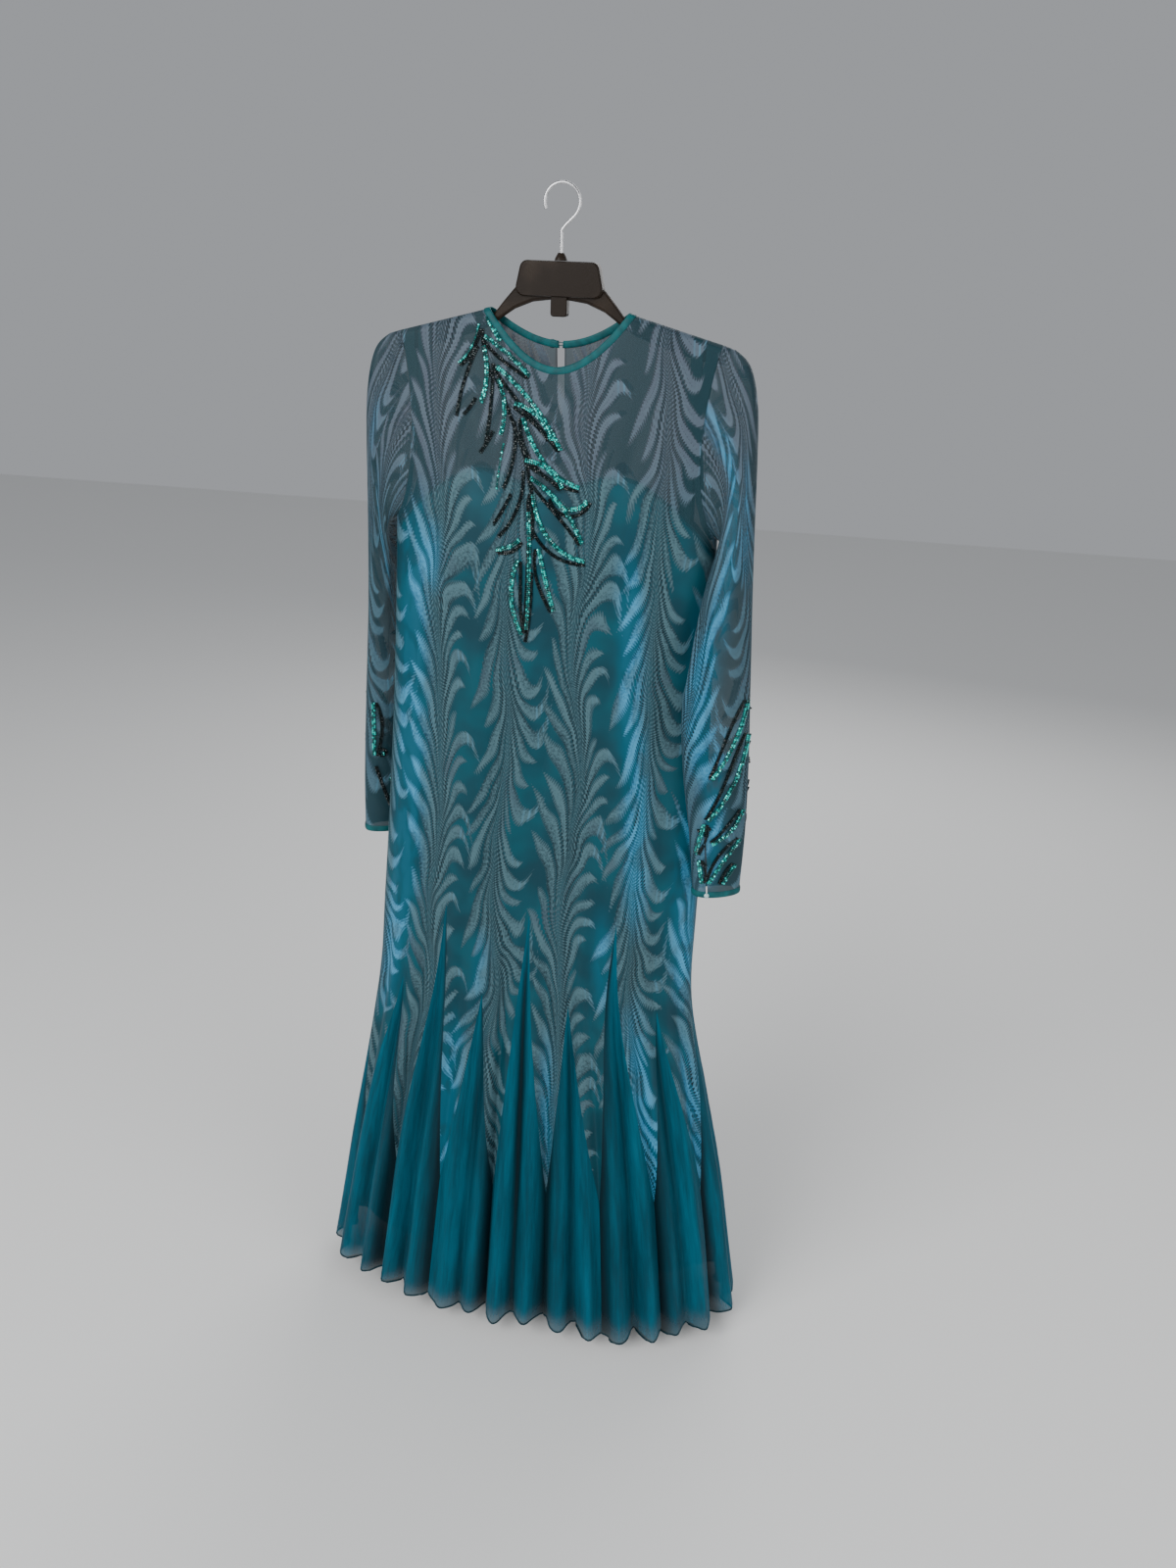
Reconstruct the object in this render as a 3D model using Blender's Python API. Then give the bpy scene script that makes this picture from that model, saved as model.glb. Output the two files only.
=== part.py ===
"""Long-sleeved evening gown with a godet hem, hung on a moulded plastic hanger.

Metres, +Z up. The front of the gown faces -Y and the wearer's left is +X. The origin is where
a rail bears inside the top of the hanger's hook, so nearly everything lies below it.

The body is a flat oval tube, described by s and z. s goes round it: 0 is the centre front, 4 the
wearer's left side, 8 the centre back and -4 the right side, so each godet is one unit of s wide
where it meets its neighbours. Every piece of cloth is a wall made from points on such a surface.
"""

import math

import bpy
import numpy as np
from mathutils import Vector

# Cloth
WALL = 0.0010
SEAM_GAP = 0.0003
BINDING_WIDTH = 0.0080
BINDING_THICK = 0.0022

# Body landmarks, as heights below the rail
NECK_POINT_Z = -0.1270
NECK_HALF_WIDTH = 0.0850
FRONT_NECK_Z = -0.1900
BACK_NECK_Z = -0.1640
SHOULDER_TIP_X = 0.1800
SHOULDER_TIP_Z = -0.1520
UNDERARM_Z = -0.3600
CHEST_Z = -0.4000
HEM_Z = -1.4330
HEM_TILT = -0.0090

# Godets: a tall one on every even line, a short one on every odd line
GODETS = 16
TALL_TOP_Z = -0.8400
SHORT_TOP_Z = -0.9630
LACE_TIP_Z = -1.2400
FLUTE_START_Z = -0.8000

# The oval sections of the body: height, half width, depth in front and behind, sideways shift
SECTION_COLUMNS = ("z", "half_width", "front", "back", "shift")
SECTIONS = (
    (-0.120, 0.1880, 0.0300, 0.0260, 0.0000),
    (-0.300, 0.1880, 0.0410, 0.0340, 0.0000),
    (-0.400, 0.1900, 0.0415, 0.0345, 0.0000),
    (-0.550, 0.1960, 0.0400, 0.0345, 0.0000),
    (-0.700, 0.2020, 0.0420, 0.0370, -0.0030),
    (-0.840, 0.2060, 0.0470, 0.0430, -0.0085),
    (-0.963, 0.2100, 0.0560, 0.0520, -0.0110),
    (-1.100, 0.2320, 0.0750, 0.0700, -0.0080),
    (-1.240, 0.2565, 0.0960, 0.0900, -0.0055),
    (-1.433, 0.2840, 0.1180, 0.1120, -0.0050),
)
OVAL_POWER = 2.35

# The armhole from the shoulder tip to the underarm: height, distance out
ARMHOLE_COLUMNS = ("z", "x")
ARMHOLE = (
    (SHOULDER_TIP_Z, SHOULDER_TIP_X),
    (-0.1800, 0.1735),
    (-0.2200, 0.1675),
    (-0.2600, 0.1655),
    (-0.3000, 0.1680),
    (-0.3350, 0.1755),
    (UNDERARM_Z, 0.1888),
)

# The flutes at the hem, in millimetres out from the oval, a row for each godet: the lace side
# before it, its first ridge, its middle, its second ridge, and how far it leans along s
FLUTE_COLUMNS = ("lace_side", "ridge_one", "middle", "ridge_two", "lean")
FLUTES = {
    -7: (-12, 13, -9, 15, 0.02),
    -6: (-9, 16, -12, 12, -0.03),
    -5: (-13, 12, -10, 14, 0.04),
    -4: (-10, 15, -11, 13, -0.02),
    -3: (-6, 16, -8, 12, 0.03),
    -2: (-11, 14, -12, 17, -0.04),
    -1: (-3, 13, -9, 12, 0.05),
    0: (-14, 18, -8, 14, -0.02),
    1: (-14, 12, -11, 16, 0.03),
    2: (-2, 17, -12, 15, 0.04),
    3: (-7, 12, -9, 14, -0.05),
    4: (-10, 16, -6, 12, 0.02),
    5: (-8, 13, -11, 15, 0.02),
    6: (-8, 17, -10, 13, 0.03),
    7: (-13, 12, -12, 16, -0.04),
    8: (-9, 15, -10, 14, 0.02),
}

# Long soft folds of the body: where along s, height at the top and the foot, half width along s,
# and how far the cloth comes out (or in, below zero)
DRAPE_COLUMNS = ("s", "top", "foot", "spread", "out")
DRAPES = (
    (-3.15, -0.34, -1.00, 0.30, 0.0045),
    (-2.55, -0.55, -0.98, 0.25, -0.0035),
    (-1.05, -0.46, -1.00, 0.22, -0.0050),
    (-0.62, -0.50, -0.95, 0.24, 0.0040),
    (1.05, -0.55, -0.99, 0.22, -0.0035),
    (1.90, -0.42, -0.95, 0.26, 0.0045),
    (2.80, -0.50, -1.00, 0.24, -0.0050),
    (5.30, -0.40, -0.98, 0.28, 0.0045),
    (6.70, -0.48, -0.99, 0.26, -0.0040),
    (-5.20, -0.45, -0.98, 0.28, 0.0045),
    (-6.60, -0.38, -0.99, 0.26, -0.0040),
)

# Rows of the panels: shares of the way from the top edge to the chest, then heights
UNDERARM_ROW = 0.82
YOKE_ROWS = (0.0, 0.006, 0.020, 0.050, 0.120, 0.200, 0.300, 0.440, 0.600, 0.720, UNDERARM_ROW, 1.0)
BODY_ROWS = (-0.510, -0.620, -0.730, TALL_TOP_Z)
LACE_ROWS = (-0.900, SHORT_TOP_Z, -1.050, -1.140)
HEM_ROWS = (LACE_TIP_Z, -1.335, HEM_Z)
LACE_COLUMNS_PER_UNIT = 4
GODET_COLUMNS = {-0.900: 2, SHORT_TOP_Z: 4, -1.050: 8, -1.140: 12}
HEM_COLUMNS = 14

# Where the top edge changes from neckline to shoulder, in s
NECK_S = 2.0

# The cloth's half-round turn over the hanger's arms
ROOF_RADIUS = 0.0065

# Keyhole slit at the centre back, down to one of the panel's rows
SLIT_ROW = 0.300
SLIT_HALF_WIDTH = 0.0052

# The lining, a slip on two straps
LINING_GAP = 0.0050
LINING_HEM_Z = -1.3650
LINING_FLUTE_ROOM = 0.0190
STRAP_X = 0.1530
STRAP_WIDTH = 0.0120

# Sleeve sections from the armhole down: the outer edge, then the inner edge, then half thickness.
# Distances out from the centre, forward of the middle, and height. The tuck pulls the layer beside
# the body over its front, or behind it where below zero.
SLEEVE_COLUMNS = ("outer_x", "outer_z", "inner_x", "inner_z", "outer_fore", "inner_fore", "half_thick", "tuck")
LEFT_SLEEVE = (
    (0.1990, -0.1580, 0.1950, -0.3690, 0.000, 0.000, 0.0240, 0.000),
    (0.2140, -0.1760, 0.1985, -0.3820, 0.000, 0.003, 0.0240, 0.004),
    (0.2225, -0.2130, 0.1990, -0.4000, 0.000, 0.010, 0.0240, 0.011),
    (0.2265, -0.2680, 0.1950, -0.4240, 0.001, 0.020, 0.0230, 0.015),
    (0.2300, -0.3380, 0.1860, -0.4560, 0.004, 0.033, 0.0210, 0.014),
    (0.2345, -0.4250, 0.1740, -0.4980, 0.008, 0.045, 0.0185, 0.008),
    (0.2400, -0.5200, 0.1680, -0.5460, 0.011, 0.051, 0.0165, 0.003),
    (0.2460, -0.6150, 0.1740, -0.6230, 0.013, 0.050, 0.0160, 0.000),
    (0.2490, -0.7000, 0.1860, -0.7030, 0.014, 0.046, 0.0160, 0.000),
    (0.2480, -0.7775, 0.1950, -0.7775, 0.014, 0.042, 0.0160, 0.000),
)
RIGHT_SLEEVE = (
    (0.1990, -0.1580, 0.1950, -0.3690, 0.000, 0.000, 0.0240, 0.000),
    (0.2130, -0.1760, 0.1985, -0.3820, 0.000, -0.003, 0.0240, -0.003),
    (0.2200, -0.2130, 0.2005, -0.4000, 0.000, -0.007, 0.0240, -0.008),
    (0.2230, -0.2680, 0.1990, -0.4240, -0.001, -0.016, 0.0230, -0.011),
    (0.2260, -0.3380, 0.1960, -0.4560, -0.004, -0.027, 0.0210, -0.010),
    (0.2300, -0.4250, 0.1930, -0.4980, -0.007, -0.036, 0.0185, -0.006),
    (0.2350, -0.5200, 0.1900, -0.5460, -0.009, -0.041, 0.0165, 0.000),
    (0.2405, -0.6150, 0.1900, -0.6230, -0.010, -0.043, 0.0160, 0.000),
    (0.2450, -0.7000, 0.1930, -0.7030, -0.011, -0.042, 0.0160, 0.000),
    (0.2460, -0.7675, 0.1960, -0.7675, -0.011, -0.040, 0.0160, 0.000),
)
CUFF_SLIT_RINGS = 1
CUFF_SLIT_GAP = 0.0016

# Hanger
WIRE_RADIUS = 0.00175
HOOK_RADIUS = 0.0190
HUB_TOP_Z = -0.0750
HUB_FOOT_Z = -0.1110
HUB_TOP_HALF = 0.0420
HUB_FOOT_HALF = 0.0500
HUB_THICK = 0.0190

# Half of the arms from the middle out: distance, top, foot, half thickness. Where no top is
# given the arm lies under the shoulder seam.
ARM_COLUMNS = ("x", "top_z", "foot_z", "half_thick")
ARM = (
    (0.0000, -0.0860, -0.1130, 0.0052),
    (0.0300, -0.0900, -0.1170, 0.0052),
    (0.0500, -0.1030, -0.1250, 0.0050),
    (0.0620, -0.1165, -0.1330, 0.0048),
    (0.0730, -0.1300, -0.1410, 0.0047),
    (0.0860, -0.1314, -0.1480, 0.0046),
    (0.1100, None, -0.1560, 0.0047),
    (0.1350, None, -0.1640, 0.0039),
    (0.1600, None, -0.1700, 0.0038),
    (0.1800, None, -0.1730, 0.0035),
)


def clear_scene():
    for old in list(bpy.data.objects):
        bpy.data.objects.remove(old)


def material(name, colour, roughness, metallic=0.0, alpha=1.0):
    made = bpy.data.materials.new(name)
    made.use_nodes = True
    shader = made.node_tree.nodes["Principled BSDF"]
    shader.inputs["Base Color"].default_value = (*colour, 1.0)
    shader.inputs["Roughness"].default_value = roughness
    shader.inputs["Metallic"].default_value = metallic
    shader.inputs["Alpha"].default_value = alpha
    made.diffuse_color = (*colour, 1.0)
    return made


def smooth_column(table, column, z):
    """One column of a table of heights, read at height z on a smooth curve through its rows."""
    heights = [row[0] for row in table]
    values = [row[column] for row in table]
    z = min(max(z, heights[-1]), heights[0])
    i = next(n for n in range(len(heights) - 1) if z >= heights[n + 1])
    span = heights[i + 1] - heights[i]
    t = (z - heights[i]) / span

    def slope(n):
        before, after = max(n - 1, 0), min(n + 1, len(heights) - 1)
        return (values[after] - values[before]) / (heights[after] - heights[before])

    return (
        (2 * t**3 - 3 * t**2 + 1) * values[i]
        + (t**3 - 2 * t**2 + t) * span * slope(i)
        + (3 * t**2 - 2 * t**3) * values[i + 1]
        + (t**3 - t**2) * span * slope(i + 1)
    )


def section(z):
    """Half width and the two depths of the body at height z."""
    return tuple(smooth_column(SECTIONS, column, z) for column in (1, 2, 3))


def sway(z):
    """How far the body hangs to the wearer's left at height z."""
    return smooth_column(SECTIONS, 4, z)


def oval_quarter(share, half_width, depth):
    """Point (x, y) on a quarter of the oval, share 0 at its middle and 1 at its side, by arc length."""
    angles = np.linspace(0.0, math.pi / 2, 181)
    x = half_width * np.sin(angles) ** (2 / OVAL_POWER)
    y = depth * np.cos(angles) ** (2 / OVAL_POWER)
    run = np.concatenate([[0.0], np.cumsum(np.hypot(np.diff(x), np.diff(y)))])
    at = share * run[-1]
    return float(np.interp(at, run, x)), float(np.interp(at, run, y))


def wrapped(s):
    """s brought into -8 to 8."""
    return (s + 8.0) % 16.0 - 8.0


def oval_point(s, half_width, front, back):
    s = wrapped(s)
    side = 1.0 if s >= 0 else -1.0
    turn = abs(s)
    if turn <= 4.0:
        x, y = oval_quarter(turn / 4.0, half_width, front)
        return Vector((side * x, -y))
    x, y = oval_quarter((8.0 - turn) / 4.0, half_width, back)
    return Vector((side * x, y))


def flute_knots():
    knots = []
    for line, (lace_side, ridge_one, middle, ridge_two, lean) in FLUTES.items():
        knots += [
            (line - 0.5, lace_side),
            (line - 0.25 + lean, ridge_one),
            (line + lean, middle),
            (line + 0.25 + lean, ridge_two),
        ]
    knots.sort()
    first, last = knots[0], knots[-1]
    return [(last[0] - GODETS, last[1])] + knots + [(first[0] + GODETS, first[1])]


KNOTS = flute_knots()
KNOT_S = [knot[0] for knot in KNOTS]
KNOT_OUT = [knot[1] / 1000.0 for knot in KNOTS]


def flute(s):
    """How far the hem comes out from the oval at s, on cosine waves through the knots."""
    s = wrapped(s)
    if s < KNOT_S[0]:
        s += GODETS
    i = min(max(int(np.searchsorted(KNOT_S, s)) - 1, 0), len(KNOT_S) - 2)
    t = (s - KNOT_S[i]) / (KNOT_S[i + 1] - KNOT_S[i])
    blend = 0.5 - 0.5 * math.cos(math.pi * min(max(t, 0.0), 1.0))
    return KNOT_OUT[i] * (1 - blend) + KNOT_OUT[i + 1] * blend


def drape(s, z):
    """The long soft folds above the godets."""
    out = 0.0
    for at, top, foot, spread, height in DRAPES:
        if foot < z < top:
            along = math.sin(math.pi * (top - z) / (top - foot))
            across = wrapped(s - at) / spread
            out += height * along * math.exp(-across * across)
    return out


def fold_out(s, z):
    depth = max(0.0, (FLUTE_START_Z - z) / (FLUTE_START_Z - HEM_Z))
    return flute(s) * depth + drape(s, z)


def tube_point(s, z):
    """The body's surface below the chest."""
    half_width, front, back = section(z)
    step = 0.01
    here = oval_point(s, half_width, front, back)
    along = oval_point(s + step, half_width, front, back) - oval_point(s - step, half_width, front, back)
    outward = Vector((along.y, -along.x)).normalized()
    here = here + outward * fold_out(s, z)
    return Vector((here.x + sway(z), here.y, z))


def surface_normal(point_at, s, z):
    """Outward normal of a surface point_at(s, z) by small steps."""
    step_s, step_z = 0.02, 0.002
    along = point_at(s + step_s, z) - point_at(s - step_s, z)
    up = point_at(s, z + step_z) - point_at(s, z - step_z)
    return along.cross(up).normalized()


def shoulder_z(x):
    """Height of the shoulder line, level inside the neck point."""
    run = max(0.0, abs(x) - NECK_HALF_WIDTH)
    slope = (NECK_POINT_Z - SHOULDER_TIP_Z) / (SHOULDER_TIP_X - NECK_HALF_WIDTH)
    return NECK_POINT_Z - slope * run


def roof(drop):
    """Half depth of the cloth where it turns down over the hanger's arm."""
    if drop >= ROOF_RADIUS:
        return ROOF_RADIUS
    return math.sqrt(max(0.0, 2 * ROOF_RADIUS * drop - drop * drop))


def yoke_depth(x, z, back):
    """How far the cloth hangs from the middle plane above the chest."""
    half_width, front_depth, back_depth = section(z)
    depth = back_depth if back else front_depth
    drop = max(0.0, shoulder_z(x) - z)
    fall = min(1.0, drop / (shoulder_z(x) - CHEST_Z))
    eased = 1 - (1 - fall) ** 1.7
    share = min(abs(x) / half_width, 1.0)
    round_edge = (1 - share**OVAL_POWER) ** (1 / OVAL_POWER)
    square_edge = (1 - share**8) ** (1 / 8)
    over_arm = roof(drop)
    hung = round_edge * (over_arm + (depth - over_arm) * eased)
    return hung + (square_edge - round_edge) * over_arm * (1 - eased)


def neck_curve(share, lowest_z):
    """Point on half a neckline, share 0 at the centre and 1 at the neck point."""
    out = 1 - (1 - share) ** 1.6
    z = NECK_POINT_Z + (lowest_z - NECK_POINT_Z) * (1 - out**1.9)
    return NECK_HALF_WIDTH * out, z


def top_edge(turn, back):
    """The panel's top edge at turn, 0 at its centre and 4 at its side."""
    if turn <= NECK_S:
        return neck_curve(turn / NECK_S, BACK_NECK_Z if back else FRONT_NECK_Z)
    share = (turn - NECK_S) / (4.0 - NECK_S)
    x = NECK_HALF_WIDTH + (SHOULDER_TIP_X - NECK_HALF_WIDTH) * share
    return x, shoulder_z(x)


def side_edge(row):
    """The panel's side at a row: the armhole down to the underarm, then the side seam."""
    if row >= UNDERARM_ROW:
        z = UNDERARM_Z + (CHEST_Z - UNDERARM_Z) * (row - UNDERARM_ROW) / (1.0 - UNDERARM_ROW)
        return section(z)[0], z
    share = row / UNDERARM_ROW
    z = SHOULDER_TIP_Z + (UNDERARM_Z - SHOULDER_TIP_Z) * share
    x = smooth_column(ARMHOLE, 1, z)
    return x, z


def yoke_point(turn, row, back):
    """The surface between the top edge and the chest, on the +X half. Row 0 is the top edge."""
    half_width, front, behind = section(CHEST_Z)
    top_x, top_z = top_edge(turn, back)
    chest_x, _ = oval_quarter(turn / 4.0, half_width, behind if back else front)
    corner_x = SHOULDER_TIP_X + (half_width - SHOULDER_TIP_X) * row
    corner_z = SHOULDER_TIP_Z + (CHEST_Z - SHOULDER_TIP_Z) * row
    side_x, side_z = side_edge(row)
    pull = (turn / 4.0) ** 2.5
    x = top_x + (chest_x - top_x) * row + pull * (side_x - corner_x)
    z = top_z + (CHEST_Z - top_z) * row + pull * (side_z - corner_z)
    depth = max(yoke_depth(x, z, back), SEAM_GAP / 2)
    if turn > 3.999 and row >= UNDERARM_ROW:
        depth = SEAM_GAP / 2
    return Vector((x, depth if back else -depth, z))


def yoke_at(x, z, back, inward=0.0):
    """The yoke's surface at x and height z, moved inward."""
    depth = yoke_depth(x, z, back) - inward
    return Vector((x, depth if back else -depth, z))


def yoke_normal(point, back):
    """Outward normal of the yoke's surface at a point on it, on the +X half."""
    step = 0.0004
    drop = shoulder_z(point.x) - point.z
    slope = (NECK_POINT_Z - SHOULDER_TIP_Z) / (SHOULDER_TIP_X - NECK_HALF_WIDTH)
    crest = Vector((slope if point.x >= NECK_HALF_WIDTH - 0.001 else 0.0, 0.0, 1.0)).normalized()
    if drop < 0.0004:
        return crest
    x = min(abs(point.x), section(point.z)[0] - 3 * step)
    z = min(point.z, shoulder_z(x) - 2 * step)
    across = yoke_at(x + step, z, back) - yoke_at(x - step, z, back)
    up = yoke_at(x, z + step, back) - yoke_at(x, z - step, back)
    found = across.cross(up) if not back else up.cross(across)
    return found.normalized()


class Sheet:
    """Points of a piece of cloth with their normals, and the triangles between them."""

    def __init__(self):
        self.points = []
        self.normals = []
        self.faces = []

    def add(self, point, normal):
        self.points.append(Vector(point))
        self.normals.append(Vector(normal).normalized())
        return len(self.points) - 1

    def zip_rows(self, upper, lower):
        """Triangles between two rows of (share, index), running the same way, of any two counts."""
        i = j = 0
        while i < len(upper) - 1 or j < len(lower) - 1:
            next_upper = upper[i + 1][0] if i < len(upper) - 1 else 2.0
            next_lower = lower[j + 1][0] if j < len(lower) - 1 else 2.0
            if next_upper < next_lower - 1e-6 or (abs(next_upper - next_lower) < 1e-6 and (i + j) % 2):
                self.faces.append((upper[i][1], lower[j][1], upper[i + 1][1]))
                i += 1
            else:
                self.faces.append((upper[i][1], lower[j][1], lower[j + 1][1]))
                j += 1

    def wall(self, name, thickness, finish, flip=False):
        """The sheet made a closed wall, half its thickness to each side, as an object."""
        count = len(self.points)
        half = thickness / 2
        points = [p + n * half for p, n in zip(self.points, self.normals)]
        points += [p - n * half for p, n in zip(self.points, self.normals)]
        outer = [tuple(reversed(face)) if flip else face for face in self.faces]
        inner = [tuple(count + v for v in reversed(face)) for face in outer]
        edges = {(face[n], face[(n + 1) % 3]) for face in outer for n in range(3)}
        rim = []
        for a, b in sorted(edges):
            if (b, a) in edges:
                continue
            if self.points[a].z > self.points[b].z:
                rim += [(b, a, count + b), (a, count + a, count + b)]
            else:
                rim += [(b, a, count + a), (b, count + a, count + b)]
        return mesh_object(name, points, outer + inner + rim, finish)


def mesh_object(name, points, faces, finish):
    mesh = bpy.data.meshes.new(name)
    mesh.from_pydata([tuple(p) for p in points], [], faces)
    mesh.validate()
    mesh.update()
    mesh.shade_smooth()
    mesh.set_sharp_from_angle(angle=math.radians(40))
    mesh.materials.append(finish)
    made = bpy.data.objects.new(name, mesh)
    bpy.context.scene.collection.objects.link(made)
    return made


def godet_top(line):
    return TALL_TOP_Z if line % 2 == 0 else SHORT_TOP_Z


def godet_half_width(line, z):
    """Half width along s of the godet on a line, before the seam gap."""
    top = godet_top(line)
    if z >= top:
        return 0.0
    return min(0.5, 0.5 * (top - z) / (top - LACE_TIP_Z))


def seam_share(z):
    """Half the seam gap at height z, as a length along s."""
    half_width, front, back = section(z)
    quarter = math.pi * math.sqrt((half_width**2 + ((front + back) / 2) ** 2) / 2) / 2
    return SEAM_GAP / 2 / (quarter / 4.0)


def hem_height(s, z):
    """Heights below the lace points, sloped so that the hem rises a little to the wearer's left."""
    if z >= LACE_TIP_Z:
        return z
    share = (LACE_TIP_Z - z) / (LACE_TIP_Z - HEM_Z)
    return z + share * HEM_TILT * math.sin(math.pi * wrapped(s) / 8.0)


def slit_half_width(row):
    """Half the width of the centre back slit at one of the panel's rows."""
    if row >= SLIT_ROW:
        return 0.0
    return SLIT_HALF_WIDTH * min(1.0, 3.0 * (SLIT_ROW - row) / SLIT_ROW) ** 0.5


def lace_panel(name, back, finish):
    """The front or the back, cut into pointed strips below, from one side seam to the other."""
    sheet = Sheet()
    centre = 8 if back else 0
    shared = {}

    def add_yoke(u, row, half):
        """A point of the yoke, one for both strips beside it except along the slit."""
        split = back and abs(u) < 1e-6 and row < SLIT_ROW - 1e-6
        key = ("yoke", row, round(u, 5), half if split else 0)
        if key not in shared:
            side = 1.0 if u >= 0 else -1.0
            point = yoke_point(abs(u), row, back)
            normal = yoke_normal(point, back)
            if abs(u) > 3.999 and row >= UNDERARM_ROW:
                normal = Vector((1.0, 0.0, 0.0))
            point.x *= side
            normal.x *= side
            if split:
                point.x = half * slit_half_width(row)
            shared[key] = sheet.add(point, normal)
        return shared[key]

    def add_tube(u, z, half):
        """A point lower down, one for both strips beside it except along a godet."""
        key = ("tube", z, round(u, 5), half)
        if key not in shared:
            inside = 4.0 - seam_share(z)
            u = min(max(u, -inside), inside)
            s = centre - u if back else u
            shared[key] = sheet.add(tube_point(s, z), surface_normal(tube_point, s, z))
        return shared[key]

    columns = LACE_COLUMNS_PER_UNIT
    for k in range(-4, 4):
        rows = []
        for row in YOKE_ROWS:
            half = -1 if k < 0 else 1
            rows.append([(n / columns, add_yoke(k + n / columns, row, half)) for n in range(columns + 1)])
        for z in BODY_ROWS + LACE_ROWS:
            line_low = centre - k if back else k
            line_high = centre - (k + 1) if back else k + 1
            low = godet_half_width(line_low, z)
            high = godet_half_width(line_high, z)
            gap = seam_share(z)
            low = low + gap if low > 0 else 0.0
            high = high + gap if high > 0 else 0.0
            row = []
            for n in range(columns + 1):
                share = n / columns
                split = (n == 0 and low > 0) or (n == columns and high > 0)
                u = k + low + (1 - low - high) * share
                row.append((share, add_tube(u, z, k if split else None)))
            rows.append(row)
        rows.append([(0.5, add_tube(k + 0.5, LACE_TIP_Z + 0.004, k))])
        for upper, lower in zip(rows, rows[1:]):
            sheet.zip_rows(upper, lower)
    return sheet.wall(name, WALL, finish, flip=back)


def godet(line, finish):
    """One chiffon wedge let in between two lace points, with its two flutes."""
    sheet = Sheet()
    top = godet_top(line)
    gap_at_top = seam_share(top)
    apex_z = top - 4 * gap_at_top * (top - LACE_TIP_Z)
    rows = [[(0.5, sheet.add(tube_point(line, apex_z), surface_normal(tube_point, line, apex_z)))]]
    heights = [z for z in LACE_ROWS + HEM_ROWS if z < top - 0.01]
    for z in heights:
        columns = GODET_COLUMNS.get(z, HEM_COLUMNS)
        half = godet_half_width(line, z) - seam_share(z)
        row = []
        for n in range(columns + 1):
            share = n / columns
            s = line + half * (2 * share - 1)
            height = hem_height(s, z)
            row.append((share, sheet.add(tube_point(s, height), surface_normal(tube_point, s, height))))
        rows.append(row)
    for upper, lower in zip(rows, rows[1:]):
        sheet.zip_rows(upper, lower)
    number = (line + 7) % GODETS + 1
    return sheet.wall(f"godet_{number:02d}", WALL, finish)


def armhole_loop(side):
    """Points and normals round the armhole, from the shoulder tip down the front and up the back."""
    halves = []
    for back in (False, True):
        half = []
        for row in YOKE_ROWS:
            if row <= UNDERARM_ROW:
                point = yoke_point(4.0, row, back)
                half.append((point, yoke_normal(point, back)))
        halves.append(half)
    loop = halves[0] + halves[1][::-1][1:-1]
    under = len(halves[0]) - 1
    for point, normal in loop:
        point.x += 2.6 * SEAM_GAP
    loop[0][0].y, loop[under][0].y = 0.0, 0.0
    loop[under][1].xyz = (0.3, 0.0, -1.0)
    loop[under][0].x += 0.0012
    for point, normal in loop:
        point.x *= side
        normal.x *= side
        normal.normalize()
    return loop


def sleeve_ring(row, side, count):
    """An oval round the sleeve: from its outer edge, over the front to the inner edge, and back."""
    outer_x, outer_z, inner_x, inner_z, outer_fore, inner_fore, half_thick, tuck = row
    outer = Vector((outer_x * side, -outer_fore, outer_z))
    inner = Vector((inner_x * side, -inner_fore, inner_z))
    middle, reach = (outer + inner) / 2, (outer - inner) / 2
    fore = Vector((0.0, -1.0, 0.0))
    fore = (fore - reach * (fore.dot(reach) / reach.length_squared)).normalized()
    ring = []
    for n in range(count):
        angle = 2 * math.pi * n / count
        across, forward = math.cos(angle), math.sin(angle)
        flat = abs(forward) ** 0.8 * (1 if forward >= 0 else -1)
        point = middle + reach * across + fore * half_thick * flat
        if across < 0 and forward * tuck > 0:
            point.x -= abs(tuck) * abs(2 * across * forward) * side
        ring.append(point)
    return ring


def sleeve_rings(table, side):
    """All rings of a sleeve, the first on the armhole and the next ones blending into ovals."""
    loop = armhole_loop(side)
    count = len(loop)
    rings = [[point for point, _ in loop]]
    for number, row in enumerate(table, start=1):
        oval = sleeve_ring(row, side, count)
        keep = (0.60, 0.25, 0.05)[number - 1] if number <= 3 else 0.0
        if keep:
            outward = Vector((0.010 * number * side, 0.0, -0.003 * number))
            held = [point + outward for point, _ in loop]
            oval = [a * keep + b * (1 - keep) for a, b in zip(held, oval)]
        rings.append(oval)
    return rings, loop


def ring_normals(rings, side):
    """Outward normals from the neighbours along and around each ring."""
    normals = []
    count = len(rings[0])
    for number, ring in enumerate(rings):
        before, after = rings[max(number - 1, 0)], rings[min(number + 1, len(rings) - 1)]
        row = []
        for n in range(count):
            around = ring[(n + 1) % count] - ring[n - 1]
            down = after[n] - before[n]
            row.append((around.cross(down) * side).normalized())
        normals.append(row)
    return normals


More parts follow.
